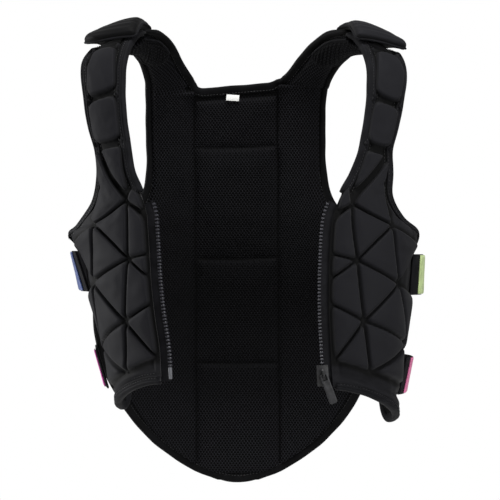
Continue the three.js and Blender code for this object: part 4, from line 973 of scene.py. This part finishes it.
# painted shade: the mesh is darker in the seams and over the middle of the back, where the front panels shade
# it, and lighter towards the tail, as the photo shows it; the cloth outside is painted darker in the seams
# than on the pads
crease = (0.1 + 0.9 * eased((inner_gap + 0.6) / 2.6)) * (
    0.9 - 0.36 * np.exp(-((depth - 300) / 110) ** 2) + 0.2 * eased((depth - 400) / 90)
)
level = np.concatenate([pad.reshape(-1), crease.reshape(-1)])[used]

back = piece_from("back_foam_panel", points, faces, shell, uv, level)
back.data.materials.append(lining)
outside_count = int((used < count).sum())
back.data.polygons.foreach_set("material_index", [1 if min(face) >= outside_count else 0 for face in faces])
faced_out(back)
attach(back, "vest")
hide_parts("back_panel")

BACK_FOLD = [
    (-7.2, 2.4), (-6.9, 3.2), (-3, 3.5), (0, 3.7), (2.3, 3.1), (3.4, 1.6), (3.7, 0), (3.4, -1.6), (2.3, -3.1),
    (0, -3.7), (-3, -3.5), (-6.9, -3.2), (-7.2, -2.4), (0.5, -1.9), (1.4, 0), (0.5, 1.9),
]
side_t = np.interp(np.linspace(0, length[-1], 170), length, fine_t)


CORNER = 13.0
neck_lengths = np.linspace(0, at_neck - CORNER, 42)
neck_t = np.interp(neck_lengths, length, fine_t)
neck_s = neck_at(neck_t)
neck_end = float(neck_at(NECKLINE))
bend = np.linspace(0, 1, 10)[1:-1, None]


def bent(a, b, c):
    # a curve from a to c that heads for the corner b
    return (1 - bend) ** 2 * np.array(a) + 2 * bend * (1 - bend) * np.array(b) + bend ** 2 * np.array(c)


round_at = bent((at_neck - CORNER, neck_s[-1]), (at_neck, neck_end), (at_neck, neck_end - CORNER))
round_in = bent(
    (at_neck - CORNER, neck_s[-1] + 2), (at_neck + 2, neck_end + 2), (at_neck + 2, neck_end - CORNER)
)
foot_half = float(arm_at(BACK_FOOT))
foot_s = np.linspace(foot_half, -foot_half, 14)[1:-1]
crest_s = np.linspace(float(arm_at(BACK_CREST)), float(neck_at(BACK_CREST)), 14)[1:-1]
line_s = np.linspace(CORNER - neck_end, neck_end - CORNER, 30)
bend_t, bend_t_in = (np.interp(spots[:, 0], length, fine_t) for spots in (round_at, round_in))
bend_s, bend_s_in = round_at[:, 1], round_in[:, 1]
parts = [
    (side_t, arm_at(side_t), side_t, arm_at(side_t) - 2),
    (BACK_FOOT + 0.2 * (1 - (foot_s / foot_s.max()) ** 2), foot_s, np.full(12, BACK_FOOT - 0.08), foot_s),
    (side_t[::-1], -arm_at(side_t[::-1]), side_t[::-1], -arm_at(side_t[::-1]) + 2),
    (np.full(12, BACK_CREST), -crest_s, np.full(12, BACK_CREST + 0.08), -crest_s),
    (neck_t, -neck_s, neck_t, -neck_s - 2),
    (bend_t, -bend_s, bend_t_in, -bend_s_in),
    (np.full(30, float(NECKLINE)), line_s, np.full(30, NECKLINE + 0.1), line_s),
    (bend_t[::-1], bend_s[::-1], bend_t_in[::-1], bend_s_in[::-1]),
    (neck_t[::-1], neck_s[::-1], neck_t[::-1], neck_s[::-1] + 2),
    (np.full(12, BACK_CREST), crest_s[::-1], np.full(12, BACK_CREST + 0.08), crest_s[::-1]),
]
edge = [np.concatenate([part[k] for part in parts]) for k in range(4)]
frames = along_edge(back_cloth, 1, back_last, edge[0], edge[1], edge[2], edge[3], True)
at_arm = np.abs(np.abs(edge[1]) - arm_at(edge[0])) < 0.5
narrow = 1 - 0.62 * at_arm * (1 - eased((edge[0] - 8.5) / 2))
for _ in range(4):
    narrow = (np.roll(narrow, 1) + 2 * narrow + np.roll(narrow, -1)) / 4
points, faces, uv = swept(frames, BACK_FOLD, True, 0.4, narrow=narrow, flat=0.6 + 0.4 * eased(edge[0] / 0.8))
# painted shade: the back's binding is the same tape as the front's, painted darker where it lies in shade
# inside the vest
shaded_back_tape = recoloured(tape_cloth, "black_woven_back_tape_painted_shade", "#020202", "#09090b")
fold = piece_from("back_edge_binding", points, faces, shaded_back_tape, uv)
faced_out(fold)
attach(fold, "vest")
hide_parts("back_binding")
for row, rise in enumerate((-3.55, 3.55)):
    seam = stitched(f"back_edge_stitches_{row + 1}", frames, -5.2, rise, True, thread)
    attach(seam, "vest")


# Shoulder flaps: fat padded cloth flaps sewn over both shoulder joins, with a corded piping round the edge.
# Each is filled with soft foam, droops at its front lip and thins out over the back strap.
FLAP_ROWS = {
    # x, y, z, face, pitch, width, turn, dip, thick, puff
    "left": [
        (-130, -49, -3, 8, 46, 68, 18, 4, 6, 3), (-127, -37, 8, 8, 58, 70, 26, 5, 8, 3.5),
        (-124, -19, 16.5, 6, 76, 67, 36, 7, 8.5, 3), (-121, 0, 18.5, 4, 90, 64, 40, 7, 8.5, 2.5),
        (-114, 20, 14.5, 0, 102, 60, 36, 9, 6, 1.5), (-104, 36, 8, 0, 108, 52, 26, 11, 3, 0.5),
    ],
    "right": [
        (130, -49, -6, 6, 46, 68, 24, 6, 6, 3), (127, -37, 5, 6, 58, 69, 30, 8, 8, 3),
        (124, -19, 13.5, 5, 76, 68, 38, 9, 8.5, 2), (121, 0, 16, 4, 90, 66, 40, 9, 8.5, 1.5),
        (110, 20, 14, 0, 102, 60, 36, 11, 6, 1), (100, 36, 8.5, 0, 108, 50, 26, 13, 3, 0.5),
    ],
}
PIPING = [(math.cos(a) * 1.3 + 0.4, math.sin(a) * 1.3) for a in np.linspace(0, TURN, 9)[:-1]]
FLAP_STEP = 19

for name, side in (("left", -1), ("right", 1)):
    rows = FLAP_ROWS[name]
    last = len(rows) - 1
    cloth = lambda t, s: front_cloth(rows, side, t, s)

    def outline(t, share):
        near = corner_cut(t * FLAP_STEP, 6) + corner_cut((last - t) * FLAP_STEP, 30)
        far = corner_cut(t * 17, 25) + corner_cut((last - t) * FLAP_STEP, 22)
        return near + share * (row_value(rows, 5, t) - near - far)

    steps = 80
    t = np.linspace(0, last, steps + 1)[:, None] + np.zeros((1, steps + 1))
    share = np.linspace(0, 1, steps + 1)[None, :] + np.zeros((steps + 1, 1))
    s = outline(t, share)
    thick, puff = row_value(rows, 8, t), row_value(rows, 9, t)
    gap = np.minimum(s - outline(t, 0 * share), outline(t, 0 * share + 1) - s)
    dome = np.sqrt(1 - (1 - np.clip(np.minimum(gap / 10, t * FLAP_STEP / 8), 0, 1)) ** 2)
    dome = np.minimum(dome, 1 - (1 - np.clip((last - t) * FLAP_STEP / 26, 0, 1)) ** 2)
    rim_lift = -thick / 2
    crease = 0.3 * dome * ripple(s, t * FLAP_STEP, 51, 24) + 0.3 * dome * np.sin(
        t * 13 + 1.5 * np.sin(s / 14)
    )
    upper, _ = lifted(cloth, t, s, rim_lift + 1.4 + (thick / 2 + puff - 0.6) * dome + crease, side, last)
    lower, _ = lifted(cloth, t, s, rim_lift - 1.2 - (thick / 2 - 1.2) * dome, side, last)
    held = np.where(dome[::4, ::4] < 0.3, 1.0, 0.5)
    swell = finer(blown_up(upper[::4, ::4], lower[::4, ::4], held, pressure=4.0, cap=1.5), steps, steps)
    upper += swell * eased(dome)[..., None]
    count = (steps + 1) ** 2
    faces = two_sided_faces(steps, steps)
    uv = np.tile(np.stack([s, t * FLAP_STEP], -1).reshape(-1, 2) / 10, (2, 1))
    # painted light and shade: the right flap's dome is painted much lighter than the left one's, and the
    # underside near black
    level = np.concatenate([(0.04 + (0.1 if side < 0 else 0.95) * dome).reshape(-1), np.full(count, 0.0)])
    flap = piece_from(
        f"shoulder_{name}_padded_flap", sheets(upper, lower),
        faces, shell, uv, level
    )
    faced_out(flap)
    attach(flap, "vest")
    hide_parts(f"shoulder_flap_{name}")

    ts = [np.zeros(24), np.linspace(0, last, 60)[1:-1], np.full(14, last), np.linspace(last, 0, 60)[1:-1]]
    shares = [np.linspace(0, 1, 24), np.ones(58), np.linspace(1, 0, 14), np.zeros(58)]
    t_path, share_path = np.concatenate(ts), np.concatenate(shares)
    t_inside = (t_path - last / 2) * 0.97 + last / 2
    at, out, up = along_edge(
        cloth, side, last, t_path, outline(t_path, share_path),
        t_inside, outline(t_inside, (share_path - 0.5) * 0.96 + 0.5), True)
    frames = (at - up * (row_value(rows, 8, t_path) / 2)[:, None], out, up)
    points, faces, uv = swept(frames, PIPING, True)
    cord = piece_from(f"shoulder_{name}_flap_piping", points, faces, tape_cloth, uv)
    faced_out(cord)
    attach(cord, "vest")


# Shoulder tongues: the front straps' padded ends, which run on under the crest and lie against the mesh of
# the back straps. Each is a rounded pad of ribbed mesh with a piped edge, shaped without a simulation.
TONGUE_TOP, TONGUE_STEP, TONGUE_CORNER, TONGUE_INSET = 0.15, 31, 24, (9, 7)
TONGUE_OFF, TONGUE_PUFF = 8.2, 4.2
for name, side, inner_row in (("left", -1, 2.6), ("right", 1, 2.75)):
    steps = 64
    f = np.linspace(0, 1, steps + 1)[:, None] + np.zeros((1, steps + 1))
    share = np.linspace(0, 1, steps + 1)[None, :] + np.zeros((steps + 1, 1))

    def tongue(f, share):
        t = TONGUE_TOP + (inner_row - TONGUE_TOP) * f
        from_end = (1 - f) * (inner_row - TONGUE_TOP) * TONGUE_STEP
        near = row_value(BACK_ROWS, 3, t) + TONGUE_INSET[0]
        far = row_value(BACK_ROWS, 4, t) - TONGUE_INSET[1]
        wide = far - near
        cut = np.minimum(corner_cut(from_end, TONGUE_CORNER), wide * 0.47)
        return t, side * (near + cut * 1.05 + share * (wide - 2 * cut))

    t, s = tongue(f, share)
    low_end, high_end = tongue(f, 0 * share)[1], tongue(f, 0 * share + 1)[1]
    gap = np.minimum(
        np.minimum(np.abs(s - low_end), np.abs(s - high_end)),
        (1 - f) * (inner_row - TONGUE_TOP) * TONGUE_STEP
    )
    dome = 1 - (1 - np.clip(gap / 9, 0, 1)) ** 2.2
    ribs = 0.8 * np.sin(s * TURN / 4.4) * eased(gap / 4)
    lower, _ = lifted(back_cloth, t, s, -TONGUE_OFF - 1.0 - TONGUE_PUFF * dome - ribs * dome, 1, back_last)
    upper, _ = lifted(back_cloth, t, s, np.full(t.shape, -7.6), 1, back_last)
    count = (steps + 1) ** 2
    faces = two_sided_faces(steps, steps)
    uv = np.tile(np.stack([s, t * TONGUE_STEP], -1).reshape(-1, 2) / 10, (2, 1))
    # painted shade: the mesh is lighter over the dome and darker towards the piped edge
    level = np.concatenate([(0.25 + 0.5 * dome).reshape(-1), np.full(count, 0.2)])
    pad_piece = piece_from(
        f"shoulder_{name}_tongue_pad", sheets(lower, upper),
        faces, lining, uv, level
    )
    faced_out(pad_piece)
    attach(pad_piece, "vest")

    f_path = np.concatenate([np.linspace(0, 1, 50), np.linspace(1, 0, 50)])
    share_path = np.concatenate([np.zeros(50), np.ones(50)])
    t_path, s_path = tongue(f_path, share_path)
    t_in, s_in = tongue(f_path * 0.95, 0.5 + (share_path - 0.5) * 0.9)
    at, out, up = along_edge(back_cloth, 1, back_last, t_path, s_path, t_in, s_in, False)
    points, faces, uv = swept((at - up * 8.9, out, up), PIPING, False)
    cord = piece_from(f"shoulder_{name}_tongue_piping", points, faces, tape_cloth, uv)
    faced_out(cord)
    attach(cord, "vest")


# Side straps: wide woven elastic from the side of the back to the front panel, where its end sticks with
# hook-and-loop, each with a bright cloth pull tab sewn on near that end.
SIDE_STRAPS = [
    # name, side, top, tall, from, first bend, second bend, to, lean in front, lean at the back, tab colour
    # the upper left tab's blue is darkened to navy as painted shade
    ("upper_left", -1, -258, 48, (-199, -42), (-211, -14), (-208, 36), (-187, 66), 16, 2, "#233f7d"),
    ("lower_left", -1, -374, 46, (-174.5, -44), (-177, -20), (-180, 34), (-184, 72), 14, 10, "#d64fb0"),
    ("upper_right", 1, -262, 48, (195.5, -46), (221, -22), (212, 30), (160.5, 64), 4, -2, "#b4c887"),
    ("lower_right", 1, -383, 44, (187.5, -48), (202, -26), (200, 30), (158.5, 84), 10, 6, "#d8689c"),
]
STRAP_THICK, TAB_THICK, TAB_START, TAB_END = 3.0, 1.6, 0.12, 0.42

# Woven elastic, black: rubber cores covered with polyester. Its ribs are too fine to show and are drawn as a
# weak wave across the strap, 20 mm apart.
elastic = tape_cloth.copy()
elastic.name = "black_woven_elastic"
elastic_wave = next(node for node in elastic.node_tree.nodes if node.bl_idname == "ShaderNodeTexWave")
elastic_wave.inputs["Scale"].default_value = 0.16


def strap_band(strap, first, last, near, far, rim_top, rim_low, steps, tall_steps):
    # a band along a strap's curve, between two shares of its length, two distances off it and two heights
    name, side, top, tall, a, b, c, d, lean_a, lean_b, colour = strap
    f = np.linspace(first, last, steps + 1)[:, None] + np.zeros((1, tall_steps + 1))
    h = np.linspace(rim_top, rim_low, tall_steps + 1)[None, :] + np.zeros((steps + 1, 1))
    points = [np.array(p, float) for p in (a, b, c, d)]
    g = f[..., None]
    p, q, r, end = points
    at = p * (1 - g) ** 3 + 3 * q * g * (1 - g) ** 2 + 3 * r * g ** 2 * (1 - g) + end * g ** 3
    ahead = 3 * ((q - p) * (1 - g) ** 2 + 2 * (r - q) * g * (1 - g) + (end - r) * g ** 2)
    ahead /= np.linalg.norm(ahead, axis=-1, keepdims=True)
    normal = np.stack([side * ahead[..., 1], -side * ahead[..., 0]], -1)
    tilt = -side * (lean_a + (lean_b - lean_a) * f) * h
    along = np.concatenate([[0], np.cumsum(np.linalg.norm(np.diff(at[:, 0], axis=0), axis=1))])
    rim_h = np.minimum(h - rim_top, rim_low - h) * tall
    soft = 1 - np.clip(rim_h / 1.2, 0, 1)
    wave = 0.25 * ripple(along[:, None] + np.zeros(f.shape), h * tall, 61, 24)
    faces_of_band = []
    for off, turn_in in ((far, -0.7), (near, 0.7)):
        reach = off + turn_in * soft ** 2 + (wave if turn_in < 0 else 0) - 0.1
        spot = at + normal * reach[..., None]
        faces_of_band.append(np.stack([spot[..., 0] + tilt, spot[..., 1], top - tall * h], -1))
    faces = two_sided_faces(steps, tall_steps)
    uv = np.tile(np.stack([along[:, None] + np.zeros(f.shape), h * tall], -1).reshape(-1, 2) / 10, (2, 1))
    return sheets(*faces_of_band), faces, uv


for strap in SIDE_STRAPS:
    name, colour = strap[0], strap[-1]
    points, faces, uv = strap_band(strap, 0, 1, 0.1, STRAP_THICK, 0, 1, 64, 24)
    band = piece_from(f"side_{name}_elastic", points, faces, elastic, uv)
    faced_out(band)
    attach(band, "vest")
    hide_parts(f"side_strap_{name}")

    # Bright plain-woven nylon, with a satin sheen and its weave drawn at 1.4 mm
    bright, bright_shader = new_material(
        f"bright_woven_nylon_{name}", {"Roughness": 0.5, "Sheen Weight": 0.2}
    )
    full = linear(colour)
    bright_tones = (0.25, tuple(c * 0.62 for c in full[:3]) + (1,)), (0.8, full)
    bright_coords = fade_colour(bright, bright_shader, {"Scale": 90.0}, *bright_tones)
    bright_weave = add_node(
        bright, "ShaderNodeTexChecker", {"Scale": 14.0}, {"Vector": bright_coords.outputs["UV"]}
    )
    bright_bump = add_node(
        bright, "ShaderNodeBump", {"Strength": 0.3, "Distance": 0.0002},
        {"Height": bright_weave.outputs["Fac"]}
    )
    bright.node_tree.links.new(bright_bump.outputs["Normal"], bright_shader.inputs["Normal"])
    near = STRAP_THICK + 0.3
    points, faces, uv = strap_band(strap, TAB_START, TAB_END, near, near + TAB_THICK, 0.02, 0.98, 24, 24)
    flag = piece_from(f"side_{name}_pull_tab", points, faces, bright, uv)
    faced_out(flag)
    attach(flag, "vest")
    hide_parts(f"strap_tab_{name}")


# Neck label: a small folded loop of white woven satin tape, left blank, sewn in just below the neckline.
label_paint, label_shader = new_material(
    "white_satin_label", {"Base Color": linear("#f4f4f1"), "Roughness": 0.55}
)
label_coords = add_node(label_paint, "ShaderNodeTexCoord")
label_weave = add_node(
    label_paint, "ShaderNodeTexWave", {"Scale": 900.0}, {"Vector": label_coords.outputs["Object"]}
)
label_bump = add_node(
    label_paint, "ShaderNodeBump", {"Strength": 0.2, "Distance": 0.0001},
    {"Height": label_weave.outputs["Fac"]}
)
label_paint.node_tree.links.new(label_bump.outputs["Normal"], label_shader.inputs["Normal"])
LABEL_RAISED = 0.0038
label = rounded_copy("neck_label", "neck_blank_label", 0.2, label_paint)
for point in label.data.vertices:
    point.co.z += LABEL_RAISED
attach(label, "vest")
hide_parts("neck_label")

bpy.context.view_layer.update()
